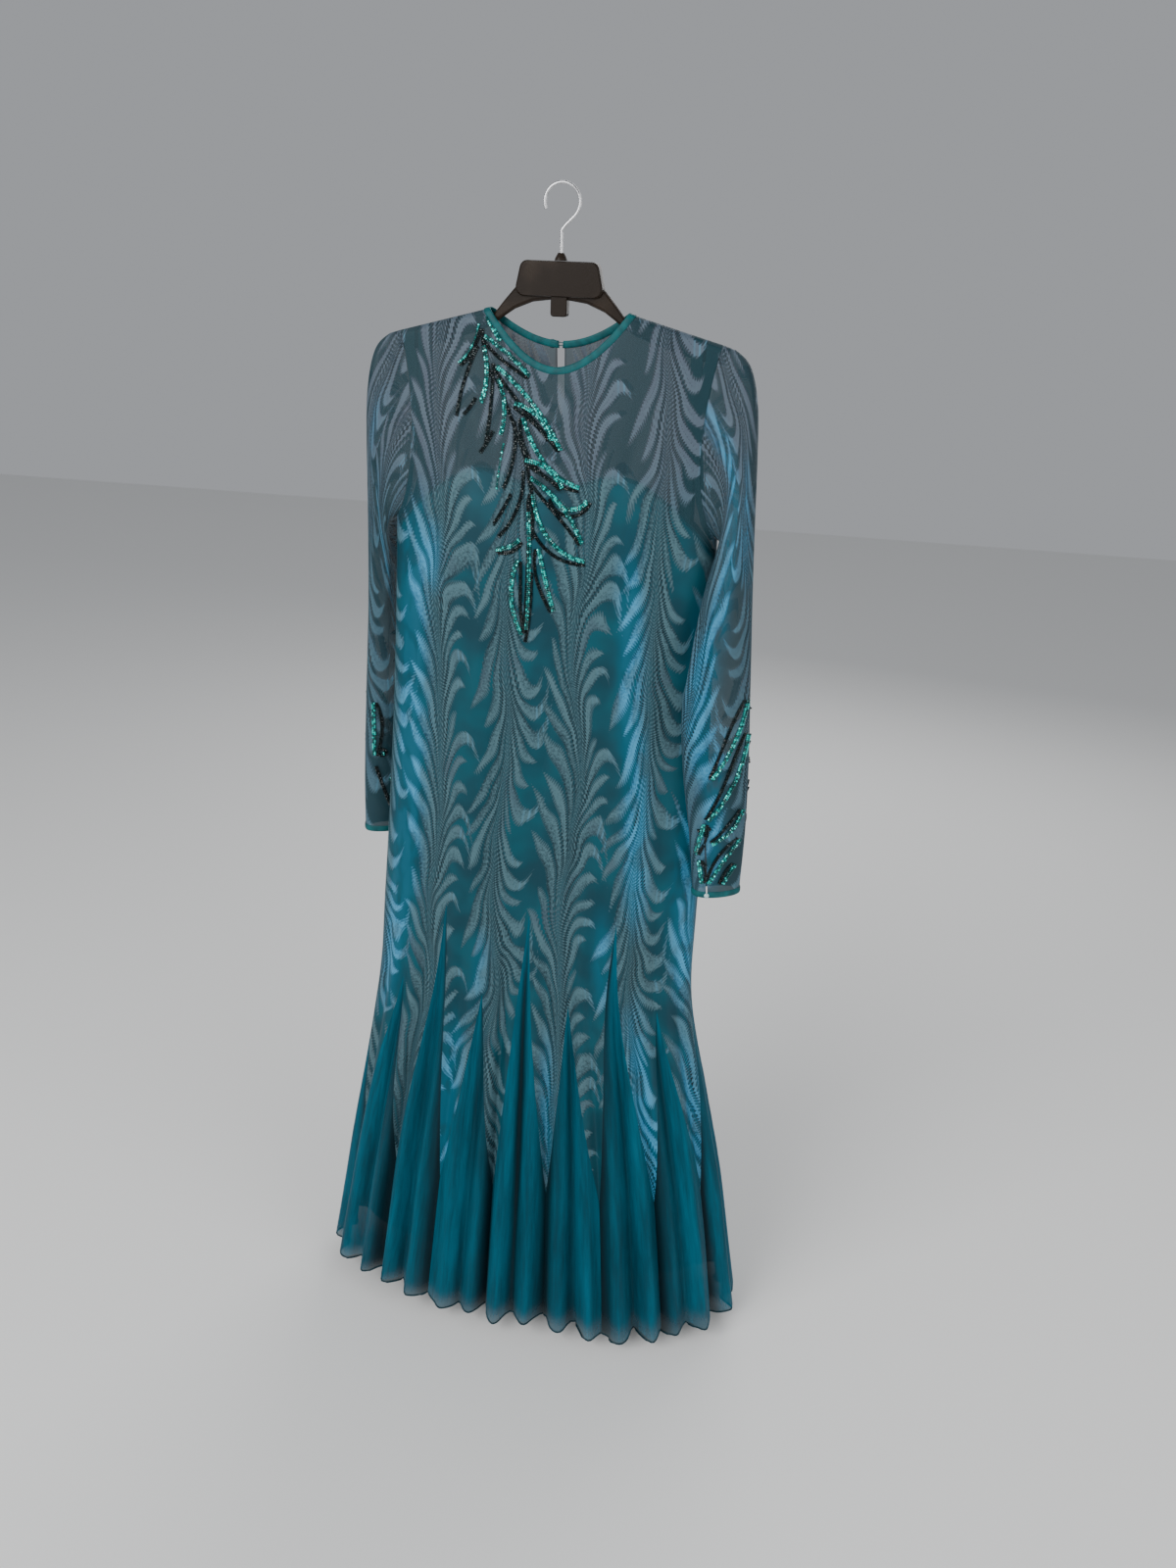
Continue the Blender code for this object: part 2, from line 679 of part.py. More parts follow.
def sleeve(name, table, side, slit_share, finish, binding_finish):
    """The sleeve as a tube, slit for a short way above the cuff, with its binding and button."""
    rings, loop = sleeve_rings(table, side)
    normals = ring_normals(rings, side)
    normals[0] = [(found + held * 0.3).normalized() for found, (_, held) in zip(normals[0], loop)]
    count = len(rings[0])
    slit_column = slit_share * count // 22
    sheet = Sheet()
    rows = []
    last = len(rings) - 1

    def slit_sides(ring, n):
        along = (ring[(n + 1) % count] - ring[n - 1]).normalized()
        half = CUFF_SLIT_GAP / 2
        return ring[n] - along * half, ring[n] + along * half

    for number, ring in enumerate(rings):
        row = []
        slit = number > last - 1 - CUFF_SLIT_RINGS
        for step in range(count + 1):
            n = (slit_column + step) % count
            share = step / count
            if step == count and not slit:
                row.append((share, row[0][1]))
                continue
            point = ring[n]
            if slit and step in (0, count):
                point = slit_sides(ring, n)[1 if step == 0 else 0]
            row.append((share, sheet.add(point, normals[number][n])))
        rows.append(row)
    for upper, lower in zip(rows, rows[1:]):
        sheet.zip_rows(upper, lower)
    sheet.wall(name, WALL, finish, flip=side > 0)

    binding = Sheet()
    band = []
    for drop in (SEAM_GAP, SEAM_GAP + BINDING_WIDTH):
        row = []
        for step in range(count + 1):
            n = (slit_column + step) % count
            point = rings[last][n]
            if step in (0, count):
                point = slit_sides(rings[last], n)[1 if step == 0 else 0]
            point = point + Vector((0.0, 0.0, -drop))
            normal = Vector((normals[last][n].x, normals[last][n].y, 0.0))
            row.append((step / count, binding.add(point, normal)))
        band.append(row)
    binding.zip_rows(band[0], band[1])
    binding.wall(name.replace("sleeve", "cuff_binding"), BINDING_THICK, binding_finish, flip=side > 0)
    seat = rings[last][slit_column]
    outward = normals[last][slit_column]
    away = Vector((outward.x, outward.y, 0.0)).normalized()
    centre = seat + Vector((0.0, 0.0, -BINDING_WIDTH / 2)) + away * (BINDING_THICK / 2 + SEAM_GAP)
    return centre, away


def button(name, centre, outward, radius, finish):
    """A small domed button with its flat back on the cloth."""
    up = Vector((0.0, 0.0, 1.0))
    side = outward.cross(up).normalized()
    up = side.cross(outward).normalized()
    profile = ((0.0, 1.0), (0.35, 1.0), (0.75, 0.78), (1.0, 0.25))
    around = 10
    points = [centre]
    for height, reach in profile:
        for n in range(around):
            angle = 2 * math.pi * n / around
            offset = side * math.cos(angle) + up * math.sin(angle)
            points.append(centre + offset * radius * reach + outward * radius * 0.8 * height)
    faces = []
    for n in range(around):
        after = (n + 1) % around
        faces.append((0, 1 + after, 1 + n))
        for level in range(len(profile) - 1):
            low, high = 1 + level * around, 1 + (level + 1) * around
            faces.append((low + n, low + after, high + after, high + n))
    top = 1 + (len(profile) - 1) * around
    faces.append(tuple(top + n for n in range(around)))
    made = mesh_object(name, points, faces, finish)
    if (side.cross(up)).dot(outward) < 0:
        made.data.flip_normals()
    return made


def neck_binding(finish):
    """The bias strip round the neck, from one side of the back slit to the other."""
    columns = int(NECK_S * LACE_COLUMNS_PER_UNIT)
    half = [(True, n / columns * NECK_S) for n in range(columns)]
    half += [(False, n / columns * NECK_S) for n in range(columns, -1, -1)]
    edge = []
    for back, turn in half:
        point = yoke_point(turn, 0.0, back)
        normal = yoke_normal(point, back)
        if turn == NECK_S:
            point.y = 0.0
        if back and turn == 0.0:
            point.x = slit_half_width(0.0)
        edge.append((point, normal))
    mirrored = [(Vector((-p.x, p.y, p.z)), Vector((-m.x, m.y, m.z))) for p, m in edge]
    whole = mirrored + edge[::-1][1:]
    sheet = Sheet()
    lower, upper = [], []
    for number, (point, normal) in enumerate(whole):
        before, after = whole[max(number - 1, 0)][0], whole[min(number + 1, len(whole) - 1)][0]
        inward = normal.cross(after - before).normalized()
        share = number / (len(whole) - 1)
        lower.append((share, sheet.add(point + inward * SEAM_GAP, normal)))
        upper.append((share, sheet.add(point + inward * (SEAM_GAP + BINDING_WIDTH), normal)))
    sheet.zip_rows(upper, lower)
    return sheet.wall("neck_binding", BINDING_THICK, finish)


def lining_top(x, back):
    """Height of the slip's top edge at x: two soft peaks in front, nearly straight behind."""
    share = abs(x) / 0.185
    if back:
        return -0.318 - 0.055 * share**5
    return -0.312 + 0.020 * math.sin(math.pi * min(share * 1.15, 1.0)) ** 2 - 0.062 * share**5


def lining_depth(x, z, back):
    """How far the slip hangs from the middle plane above the chest."""
    half_width = section(CHEST_Z)[0]
    stretched = abs(x) * half_width / (half_width - LINING_GAP)
    share = min(stretched / half_width, 1.0)
    return max(0.0, yoke_depth(stretched, z, back) - 0.0040 * (1 - share**4))


def lining_point(s, z):
    """The slip's surface, a little inside the body and clear of the flutes."""
    half_width, front, back = section(z)
    flutes = max(0.0, (FLUTE_START_Z - z) / (FLUTE_START_Z - HEM_Z)) ** 0.8
    drapes = 0.004 * min(1.0, max(0.0, (CHEST_Z - 0.02 - z) / 0.08))
    inset = LINING_GAP + LINING_FLUTE_ROOM * flutes + drapes
    if z <= CHEST_Z:
        flat = oval_point(s, half_width - inset, front - inset, back - inset)
        return Vector((flat.x + sway(z), flat.y, z))
    behind = abs(wrapped(s)) > 4.0
    chest_width, chest_front, chest_back = section(CHEST_Z)
    depth = (chest_back if behind else chest_front) - LINING_GAP
    flat = oval_point(s, chest_width - LINING_GAP, depth, depth)
    hung = max(lining_depth(flat.x, z, behind), abs(flat.y) if abs(flat.y) < 0.002 else 0.0)
    return Vector((flat.x, hung if behind else -hung, z))


def lining_panel(name, back, finish):
    sheet = Sheet()
    centre = 8 if back else 0
    columns = 16
    inside = 4.0 - 0.004
    heights = (CHEST_Z, -0.550, -0.750, -0.950, -1.100, -1.240, LINING_HEM_Z)
    rows = [[] for _ in range(len(heights) + 2)]
    for n in range(columns + 1):
        share = n / columns
        u = inside * (2 * share - 1)
        s = centre - u if back else u
        top = lining_top(lining_point(s, CHEST_Z).x, back)
        for row, z in zip(rows, (top, (top + CHEST_Z) / 2) + heights):
            row.append((share, sheet.add(lining_point(s, z), surface_normal(lining_point, s, z))))
    for upper, lower in zip(rows, rows[1:]):
        sheet.zip_rows(upper, lower)
    return sheet.wall(name, WALL, finish, flip=back)


def lining_strap(name, side, finish):
    """A ribbon from inside the slip's front top edge, over the hanger's arm, to its back."""
    sheet = Sheet()
    rows = []

    def add_row(back, place):
        row = []
        for share, x in ((0.0, STRAP_X - STRAP_WIDTH / 2), (1.0, STRAP_X + STRAP_WIDTH / 2)):
            y, z, normal_y, normal_z = place(x, back)
            facing = 1.0 if back else -1.0
            placed = (x * side, y * facing, z)
            row.append((share, sheet.add(placed, (0.0, normal_y * facing, normal_z))))
        rows.append(row)

    def hanging(drop, inward):
        def place(x, back):
            z = shoulder_z(x) - drop
            return yoke_depth(x, z, back) - inward, z, 1.0, 0.1
        return place

    def lying(below):
        def place(x, back):
            z = lining_top(x, back) - below
            return lining_depth(x, z, back) - 0.0024, z, 1.0, 0.1
        return place

    def over_arm(angle):
        def place(x, back):
            y, up = math.sin(angle), math.cos(angle)
            radius = ROOF_RADIUS - 0.0015
            return y * radius, shoulder_z(x) - ROOF_RADIUS + up * radius, y, up
        return place

    way_up = [lying(0.012), lying(-0.004), hanging(0.110, 0.0040), hanging(0.060, 0.0030), hanging(0.028, 0.0022)]
    way_up += [hanging(0.012, 0.0016), over_arm(math.radians(70)), over_arm(math.radians(35))]
    for place in way_up:
        add_row(False, place)
    add_row(False, over_arm(0.0))
    for place in way_up[::-1]:
        add_row(True, place)
    for upper, lower in zip(rows, rows[1:]):
        sheet.zip_rows(upper, lower)
    return sheet.wall(name, WALL, finish, flip=side > 0)


def swept(name, rings, finish):
    """A solid through rings of the same count, closed by fans at both ends."""
    points = [point for ring in rings for point in ring]
    size = len(rings[0])
    faces = []
    for number in range(len(rings) - 1):
        for n in range(size):
            here, after = number * size + n, number * size + (n + 1) % size
            faces.append((here, after, after + size, here + size))
    first = sum((Vector(p) for p in rings[0]), Vector()) / size
    last = sum((Vector(p) for p in rings[-1]), Vector()) / size
    points += [first, last]
    base = (len(rings) - 1) * size
    for n in range(size):
        after = (n + 1) % size
        faces.append((len(points) - 2, after, n))
        faces.append((len(points) - 1, base + n, base + after))
    made = mesh_object(name, points, faces, finish)
    return made


def arm_ring(x, top_z, foot_z, half_thick, sides=12):
    """An upright section of the hanger's arm: flat sides between two round edges."""
    ring = []
    for n in range(sides):
        angle = 2 * math.pi * (n + 0.5) / sides
        y = half_thick * math.sin(angle)
        z = half_thick * math.cos(angle)
        centre = top_z - half_thick if z > 0 else foot_z + half_thick
        ring.append(Vector((x, y, centre + z)))
    return ring


def plate_rings(outline, half_thick, edge):
    """Rings of a plate across Y with its two faces drawn in at the edge."""
    middle = sum((Vector(p) for p in outline), Vector((0.0, 0.0))) / len(outline)
    rings = []
    for y, inset in ((-half_thick, edge), (-half_thick + edge, 0.0), (half_thick - edge, 0.0), (half_thick, edge)):
        ring = []
        for p in outline:
            away = Vector(p) - middle
            moved = middle + away * (1 - inset / away.length)
            ring.append(Vector((moved.x, y, moved.y)))
        rings.append(ring)
    return rings


def rounded_outline(corners, radius, segments=4):
    """A convex polygon in X and Z, clockwise seen from the front, with round corners."""
    outline = []
    count = len(corners)
    for n in range(count):
        here = Vector(corners[n])
        before = (Vector(corners[n - 1]) - here).normalized()
        after = (Vector(corners[(n + 1) % count]) - here).normalized()
        half = before.angle(after) / 2
        centre = here + (before + after).normalized() * (radius / math.sin(half))
        start = here + before * (radius / math.tan(half)) - centre
        turn = math.pi - 2 * half
        for step in range(segments + 1):
            angle = -turn * step / segments
            cosine, sine = math.cos(angle), math.sin(angle)
            outline.append((centre.x + start.x * cosine - start.y * sine, centre.y + start.x * sine + start.y * cosine))
    return outline


def hanger(finish):
    """The moulded hanger: two arms, the wide hub over them and the small plate under the hub."""
    stations = []
    for x, top_z, foot_z, half_thick in ARM:
        if top_z is None:
            top_z = shoulder_z(x) - ROOF_RADIUS + half_thick - 0.0003
        stations.append((x, top_z, foot_z, half_thick))
    tip_x, tip_top, tip_foot, tip_thick = stations[-1]
    stations.append((tip_x + 0.0030, tip_top - 0.0012, tip_foot + 0.0012, tip_thick * 0.75))
    stations.append((tip_x + 0.0042, tip_top - 0.0030, tip_foot + 0.0030, tip_thick * 0.40))
    left = [(-x, top_z, foot_z, half_thick) for x, top_z, foot_z, half_thick in stations[:0:-1]]
    arms = swept("hanger", [arm_ring(*station) for station in left + stations], finish)
    hub_corners = (
        (-HUB_TOP_HALF, HUB_TOP_Z),
        (HUB_TOP_HALF, HUB_TOP_Z),
        (HUB_FOOT_HALF, HUB_FOOT_Z),
        (-HUB_FOOT_HALF, HUB_FOOT_Z),
    )
    hub = swept("hub_shape", plate_rings(rounded_outline(hub_corners, 0.0085), HUB_THICK / 2, 0.0020), finish)
    tab_corners = ((-0.0090, -0.1050), (0.0090, -0.1050), (0.0090, -0.1310), (-0.0090, -0.1310))
    tab = swept("tab_shape", plate_rings(rounded_outline(tab_corners, 0.0030, 2), 0.0070, 0.0010), finish)
    for shape in (hub, tab):
        joined = arms.modifiers.new(f"join_{shape.name}", "BOOLEAN")
        joined.operation = "UNION"
        joined.object = shape
        joined.solver = "EXACT"
        shape.hide_render = True
        shape.display_type = "WIRE"
    return arms


def wire(name, path, radius, sides, finish):
    """A round wire along a path of points, with flat ends."""
    path = [Vector(p) for p in path]
    rings = []
    across = None
    for n, point in enumerate(path):
        along = (path[min(n + 1, len(path) - 1)] - path[max(n - 1, 0)]).normalized()
        if across is None:
            across = along.orthogonal().normalized()
        across = (across - along * across.dot(along)).normalized()
        other = along.cross(across)
        ring = []
        for k in range(sides):
            angle = 2 * math.pi * k / sides
            ring.append(point + (across * math.cos(angle) + other * math.sin(angle)) * radius)
        rings.append(ring)
    return swept(name, rings, finish)


def hook(finish):
    """The bent wire of the hook, from the hub's top, round over the rail, to its open end."""
    centre_z = WIRE_RADIUS - HOOK_RADIUS
    stem_top = centre_z - HOOK_RADIUS - 0.0090
    points = [(0.0, 0.0, HUB_TOP_Z + SEAM_GAP), (0.0, 0.0, stem_top), (0.0040, 0.0, stem_top + 0.0055)]
    for n in range(15):
        angle = math.radians(-48 + 250 * n / 14)
        points.append((HOOK_RADIUS * math.cos(angle), 0.0, centre_z + HOOK_RADIUS * math.sin(angle)))
    return wire("hook", points, WIRE_RADIUS, 10, finish)


def hook_collar(finish):
    """The cone round the wire on top of the hub, turned from a profile of radius and height."""
    bore = WIRE_RADIUS + SEAM_GAP
    base = HUB_TOP_Z + SEAM_GAP
    profile = ((bore, base), (0.0072, base), (0.0062, base + 0.0030), (0.0034, base + 0.0078), (bore, base + 0.0078))
    around = 16
    points, faces = [], []
    for n in range(around):
        angle = 2 * math.pi * n / around
        points += [(r * math.cos(angle), r * math.sin(angle), z) for r, z in profile]
    size = len(profile)
    for n in range(around):
        here, after = n * size, (n + 1) % around * size
        for k in range(size):
            following = (k + 1) % size
            faces.append((here + k, after + k, after + following, here + following))
    return mesh_object("hook_collar", points, faces, finish)


def neck_loop(finish):
    """The thread loop that crosses the back slit and passes round the button."""
    z = BACK_NECK_Z + BINDING_WIDTH * 0.55
    y = yoke_depth(0.0, BACK_NECK_Z, True) + BINDING_THICK / 2 + 0.0008
    points = [(0.0075, y, z - 0.0012), (-0.0030, y, z - 0.0016)]
    for n in range(11):
        angle = math.radians(-145 + 290 * n / 10)
        points.append((-0.0100 - 0.0044 * math.cos(angle), y, z + 0.0044 * math.sin(angle)))
    points += [(-0.0030, y, z + 0.0016), (0.0075, y, z + 0.0012)]
    return wire("neck_loop", points, 0.0005, 6, finish)


def build():
    clear_scene()
    lace = material("leaf_jacquard", (0.10, 0.26, 0.31), 0.62)
    chiffon = material("teal_chiffon", (0.0, 0.20, 0.24), 0.55)
    lining = material("teal_lining", (0.0, 0.17, 0.20), 0.5)
    binding = material("teal_binding", (0.01, 0.24, 0.25), 0.42)
    pearl = material("button_pearl", (0.75, 0.80, 0.80), 0.2)
    thread = material("loop_thread", (0.02, 0.22, 0.24), 0.6)
    plastic = material("black_plastic", (0.012, 0.011, 0.010), 0.42)
    steel = material("hook_steel", (0.55, 0.55, 0.56), 0.25, metallic=1.0)

    lace_panel("front_panel", False, lace)
    lace_panel("back_panel", True, lace)
    for line in FLUTES:
        godet(line, chiffon)
    sleeves = (("sleeve_left", LEFT_SLEEVE, 1.0, 8), ("sleeve_right", RIGHT_SLEEVE, -1.0, 15))
    for name, table, side, slit_share in sleeves:
        centre, away = sleeve(name, table, side, slit_share, lace, binding)
        button(name.replace("sleeve", "cuff_button"), centre, away, 0.0032, pearl)
    neck_binding(binding)
    lining_panel("lining_front", False, lining)
    lining_panel("lining_back", True, lining)
    lining_strap("lining_strap_left", 1.0, lining)
    lining_strap("lining_strap_right", -1.0, lining)
    seat_y = yoke_depth(0.0, BACK_NECK_Z, True) + BINDING_THICK / 2 + SEAM_GAP
    button(
        "neck_button",
        Vector((-0.0100, seat_y, BACK_NECK_Z + BINDING_WIDTH * 0.55)),
        Vector((0.0, 1.0, 0.0)),
        0.0036,
        pearl,
    )
    neck_loop(thread)
    hanger(plastic)
    hook(steel)
    hook_collar(plastic)


build()
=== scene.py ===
"""Looks of a long-sleeved evening gown with a godet hem, on a moulded plastic hanger.

Metres, +Z up. The front faces -Y and the wearer's left is +X. Round the body, s is 0 at the centre
front, 4 at the wearer's left side, 8 at the centre back and -4 at the right side.
"""

import math

import bmesh
import bpy
import numpy as np
from mathutils import Matrix, Vector
from mathutils.bvhtree import BVHTree


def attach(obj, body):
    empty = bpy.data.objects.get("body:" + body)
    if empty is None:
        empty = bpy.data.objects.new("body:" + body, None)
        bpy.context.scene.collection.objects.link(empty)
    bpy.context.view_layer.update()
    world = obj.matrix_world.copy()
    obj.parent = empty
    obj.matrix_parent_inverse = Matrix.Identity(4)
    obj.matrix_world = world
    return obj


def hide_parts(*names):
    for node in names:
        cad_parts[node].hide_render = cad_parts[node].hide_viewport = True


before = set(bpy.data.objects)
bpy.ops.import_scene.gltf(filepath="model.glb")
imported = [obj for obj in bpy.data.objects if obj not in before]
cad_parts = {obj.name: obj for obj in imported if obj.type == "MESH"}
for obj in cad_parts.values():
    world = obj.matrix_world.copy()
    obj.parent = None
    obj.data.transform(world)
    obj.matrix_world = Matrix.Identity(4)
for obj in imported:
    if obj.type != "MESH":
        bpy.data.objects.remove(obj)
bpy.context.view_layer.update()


# The hanger: one moulding in black-brown plastic, two arms under a wide hub with a small plate
# below it, and the cone on the hub that takes the wire hook. Both keep the shape of their solids.
class Value:
    """One output of a node. Each sum, product, quotient or power of it is a math node."""

    def __init__(self, graph, socket):
        self.graph, self.socket = graph, socket

    def __add__(self, other):
        return self.graph.math("ADD", self, other)

    def __sub__(self, other):
        return self.graph.math("SUBTRACT", self, other)

    def __rsub__(self, other):
        return self.graph.math("SUBTRACT", other, self)

    def __mul__(self, other):
        return self.graph.math("MULTIPLY", self, other)

    def __truediv__(self, other):
        return self.graph.math("DIVIDE", self, other)

    def __pow__(self, other):
        return self.graph.math("POWER", self, other)

    def __abs__(self):
        return self.graph.math("ABSOLUTE", self)

    def held(self):
        """The same value, held between 0 and 1."""
        self.socket.node.use_clamp = True
        return self


def titled(name):
    """The title of the socket that a keyword means."""
    return name.replace("_", " ").title().replace("Ior", "IOR")


class Graph:
    """The nodes of one material or shader group, with a short call for each kind that is used."""

    def __init__(self, owner, tree, leave):
        self.owner, self.tree, self.leave = owner, tree, leave

    def set(self, socket, value):
        if isinstance(value, Value):
            self.tree.links.new(value.socket, socket)
        else:
            socket.default_value = (*value, 1.0) if socket.type == "RGBA" else value

    def give(self, **values):
        """Sets sockets of the shader, or of the group's output, and returns the material or group."""
        for name, value in values.items():
            self.set(self.leave[titled(name)], value)
        return self.owner

    def node(self, kind, given, output, **settings):
        """A node with its inputs by number or title, and one of its outputs, or all by title."""
        made = self.tree.nodes.new("ShaderNode" + kind)
        for name, value in settings.items():
            setattr(made, name, value)
        for key, value in given.items() if isinstance(given, dict) else enumerate(given):
            self.set(made.inputs[key], value)
        if output is None:
            return {socket.name: Value(self, socket) for socket in made.outputs}
        return Value(self, made.outputs[output])

    def math(self, operation, *values):
        return self.node("Math", values, 0, operation=operation)

    def sine(self, value):
        return self.math("SINE", value)

    def vector(self, operation, *values):
        return self.node("VectorMath", values, 0, operation=operation)

    def split(self, vector):
        return self.node("SeparateXYZ", [vector], None).values()

    def mix(self, share, first, second):
        return self.node("Mix", {0: share, 6: first, 7: second}, 2, data_type="RGBA")

    def ease(self, value, low, high, to_low=0.0, to_high=1.0):
        given = (value, low, high, to_low, to_high)
        return self.node("MapRange", given, 0, interpolation_type="SMOOTHSTEP")

    def noise(self, place, scale, detail=2.0, roughness=0.5):
        """Noise at one scale, or at a scale for each direction."""
        if isinstance(scale, tuple):
            place, scale = self.vector("MULTIPLY", place, scale), 1.0
        given = {"Vector": place, "Scale": scale, "Detail": detail, "Roughness": roughness}
        return self.node("TexNoise", given, "Fac")

    def bump(self, height, distance, strength):
        given = {"Height": height, "Distance": distance, "Strength": strength}
        return self.node("Bump", given, 0)

    def attribute(self, name, output="Fac"):
        return self.node("Attribute", (), output, attribute_name=name)

    def object_place(self):
        return self.node("TexCoord", (), "Object")

    def group(self, tree, **inputs):
        given = {titled(name): value for name, value in inputs.items()}
        return self.node("Group", given, None, node_tree=tree)


def shader_group(name, takes, gives):
    """The graph of a new shader group, and the values of its inputs by title."""
    tree = bpy.data.node_groups.new(name, "ShaderNodeTree")
    for titles, way in ((takes, "INPUT"), (gives, "OUTPUT")):
        for title in titles.split(", "):
            kind = {"Place": "Vector", "Colour": "Color"}.get(title, "Float")
            tree.interface.new_socket(title, in_out=way, socket_type="NodeSocket" + kind)
    entry = tree.nodes.new("NodeGroupInput").outputs
    graph = Graph(tree, tree, tree.nodes.new("NodeGroupOutput").inputs)
    return graph, {socket.name: Value(graph, socket) for socket in entry}


def finish(name, **plain):
    """The graph of a new material, with plain values on its shader's own sockets."""
    made = bpy.data.materials.new(name)
    made.use_nodes = True
    graph = Graph(made, made.node_tree, made.node_tree.nodes["Principled BSDF"].inputs)
    graph.give(**plain)
    return graph


def moulded_grain():
    """Fine pitted skin of moulded plastic, with a little rubbing where it is handled."""
    graph, entry = shader_group("moulded_grain", "Place, Scale", "Pits, Rub")
    pits = graph.noise(entry["Place"], entry["Scale"], 3.0, 0.6)
    return graph.give(pits=pits, rub=graph.ease(graph.noise(entry["Place"], 22.0), 0.42, 0.72))


graph = finish("hanger_plastic", specular_ior_level=0.18)
skin = graph.group(moulded_grain(), place=graph.object_place(), scale=900.0)
plastic = graph.give(
    base_color=graph.mix(skin["Rub"], (0.0120, 0.0072, 0.0042), (0.0230, 0.0148, 0.0090)),
    roughness=graph.ease(skin["Rub"], 0.0, 1.0, 0.46, 0.34),
    normal=graph.bump(skin["Pits"], 0.0002, 0.5),
)
for node in ("hanger", "hook_collar"):
    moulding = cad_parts[node].data
    moulding.materials.clear()
    moulding.materials.append(plastic)
    moulding.shade_smooth()
    moulding.set_sharp_from_angle(angle=math.radians(35))


# The slip: smooth teal lining in a front and a back piece, seamed at the sides, with a narrow turned
# edge above. It shows through the sheer yoke and lies a little inside the gown down to the knee.
OVAL_POWER = 2.35
NECK_Z, NECK_X = -0.1270, 0.0850
TIP_X, TIP_Z = 0.1800, -0.1520
CHEST_Z, HEM_Z = -0.4000, -1.4330
FLUTE_START_Z = -0.8000
ROOF_RADIUS = 0.0065
OVAL_STEPS = 400
MERGE_WITHIN = 2e-5
# Columns: height, half width, front depth, back depth and sideways shift of the body.
SECTIONS = (
    (-0.120, 0.1880, 0.0300, 0.0260, 0.0000),
    (-0.300, 0.1880, 0.0410, 0.0340, 0.0000),
    (-0.400, 0.1900, 0.0415, 0.0345, 0.0000),
    (-0.550, 0.1960, 0.0400, 0.0345, 0.0000),
    (-0.700, 0.2020, 0.0420, 0.0370, -0.0030),
    (-0.840, 0.2060, 0.0470, 0.0430, -0.0085),
    (-0.963, 0.2100, 0.0560, 0.0520, -0.0110),
    (-1.100, 0.2320, 0.0750, 0.0700, -0.0080),
    (-1.240, 0.2565, 0.0960, 0.0900, -0.0055),
    (-1.433, 0.2840, 0.1180, 0.1120, -0.0050),
)


def part_of(distance, whole):
    """A distance as a share of a whole, held between 0 and 1."""
    return np.clip(distance / whole, 0.0, 1.0)


def run_along(points):
    """Distance along a path of points, or along each column of a grid of points, from its start."""
    steps = np.linalg.norm(np.diff(points, axis=0), axis=-1)
    return np.concatenate([0.0 * steps[:1], np.cumsum(steps, axis=0)])


def smooth_rows(keys, rows, at):
    """The rows of a table, read at any places between their rising keys on smooth curves."""
    keys, rows = np.array(keys, float), np.array(rows, float)
    number = np.arange(len(keys))
    before, after = np.maximum(number - 1, 0), np.minimum(number + 1, number[-1])
    slopes = (rows[after] - rows[before]) / (keys[after] - keys[before])[:, None]
    at = np.clip(at, keys[0], keys[-1])
    i = np.clip(np.searchsorted(keys, at) - 1, 0, len(keys) - 2)
    span = (keys[i + 1] - keys[i])[..., None]
    t = (at - keys[i])[..., None] / span
    first = (2 * t**3 - 3 * t**2 + 1) * rows[i] + (t**3 - 2 * t**2 + t) * span * slopes[i]
    return first + (3 * t**2 - 2 * t**3) * rows[i + 1] + (t**3 - t**2) * span * slopes[i + 1]


def table_at(table, z):
    """The columns of a table of falling heights, read at heights z."""
    rows = np.array(table)
    return np.moveaxis(smooth_rows(-rows[:, 0], rows[:, 1:], -z), -1, 0)


def section(z):
    """Half width, front depth, back depth and sideways shift of the body at heights z."""
    return table_at(SECTIONS, z)


def oval_tables():
    """Points by arc length on a quarter oval of half width 1, for a row of depths, and its length."""
    depths = np.linspace(0.04, 0.52, 49)
    angles = np.linspace(0.0, math.pi / 2, 1441)
    x, y = np.sin(angles) ** (2 / OVAL_POWER), np.cos(angles) ** (2 / OVAL_POWER)
    across, deep, lengths = [], [], []
    for depth in depths:
        run = run_along(np.stack([x, depth * y], axis=-1))
        at = np.linspace(0.0, run[-1], OVAL_STEPS + 1)
        across.append(np.interp(at, run, x))
        deep.append(np.interp(at, run, y))
        lengths.append(run[-1])
    return depths, np.array(across), np.array(deep), np.array(lengths)


OVAL_DEPTHS, OVAL_X, OVAL_Y, OVAL_LENGTH = oval_tables()


def wrapped(s):
    """s brought into -8 to 8."""
    return (s + 8.0) % 16.0 - 8.0


def quarter_length(half_width, depth):
    return half_width * np.interp(depth / half_width, OVAL_DEPTHS, OVAL_LENGTH)


def oval(s, half_width, front, back):
    """Points x and y on the body's oval at s."""
    s = wrapped(s)
    behind = np.abs(s) > 4.0
    share = np.where(behind, 8.0 - np.abs(s), np.abs(s)) / 4.0 * OVAL_STEPS
    depth = np.where(behind, back, front)
    level = (depth / half_width - OVAL_DEPTHS[0]) / (OVAL_DEPTHS[1] - OVAL_DEPTHS[0])
    level = np.clip(level, 0, len(OVAL_DEPTHS) - 1.001)
    i, j = level.astype(int), np.minimum(share.astype(int), OVAL_STEPS - 1)
    u, v = level - i, share - j

    def read(table):
        low = table[i, j] * (1 - v) + table[i, j + 1] * v
        high = table[i + 1, j] * (1 - v) + table[i + 1, j + 1] * v
        return low * (1 - u) + high * u

    x, y = half_width * read(OVAL_X), depth * read(OVAL_Y)
    return np.where(s >= 0, x, -x), np.where(behind, y, -y)


def shoulder_z(x):
    """Height of the shoulder line, level inside the neck point."""
    return NECK_Z - (NECK_Z - TIP_Z) / (TIP_X - NECK_X) * np.maximum(0.0, np.abs(x) - NECK_X)


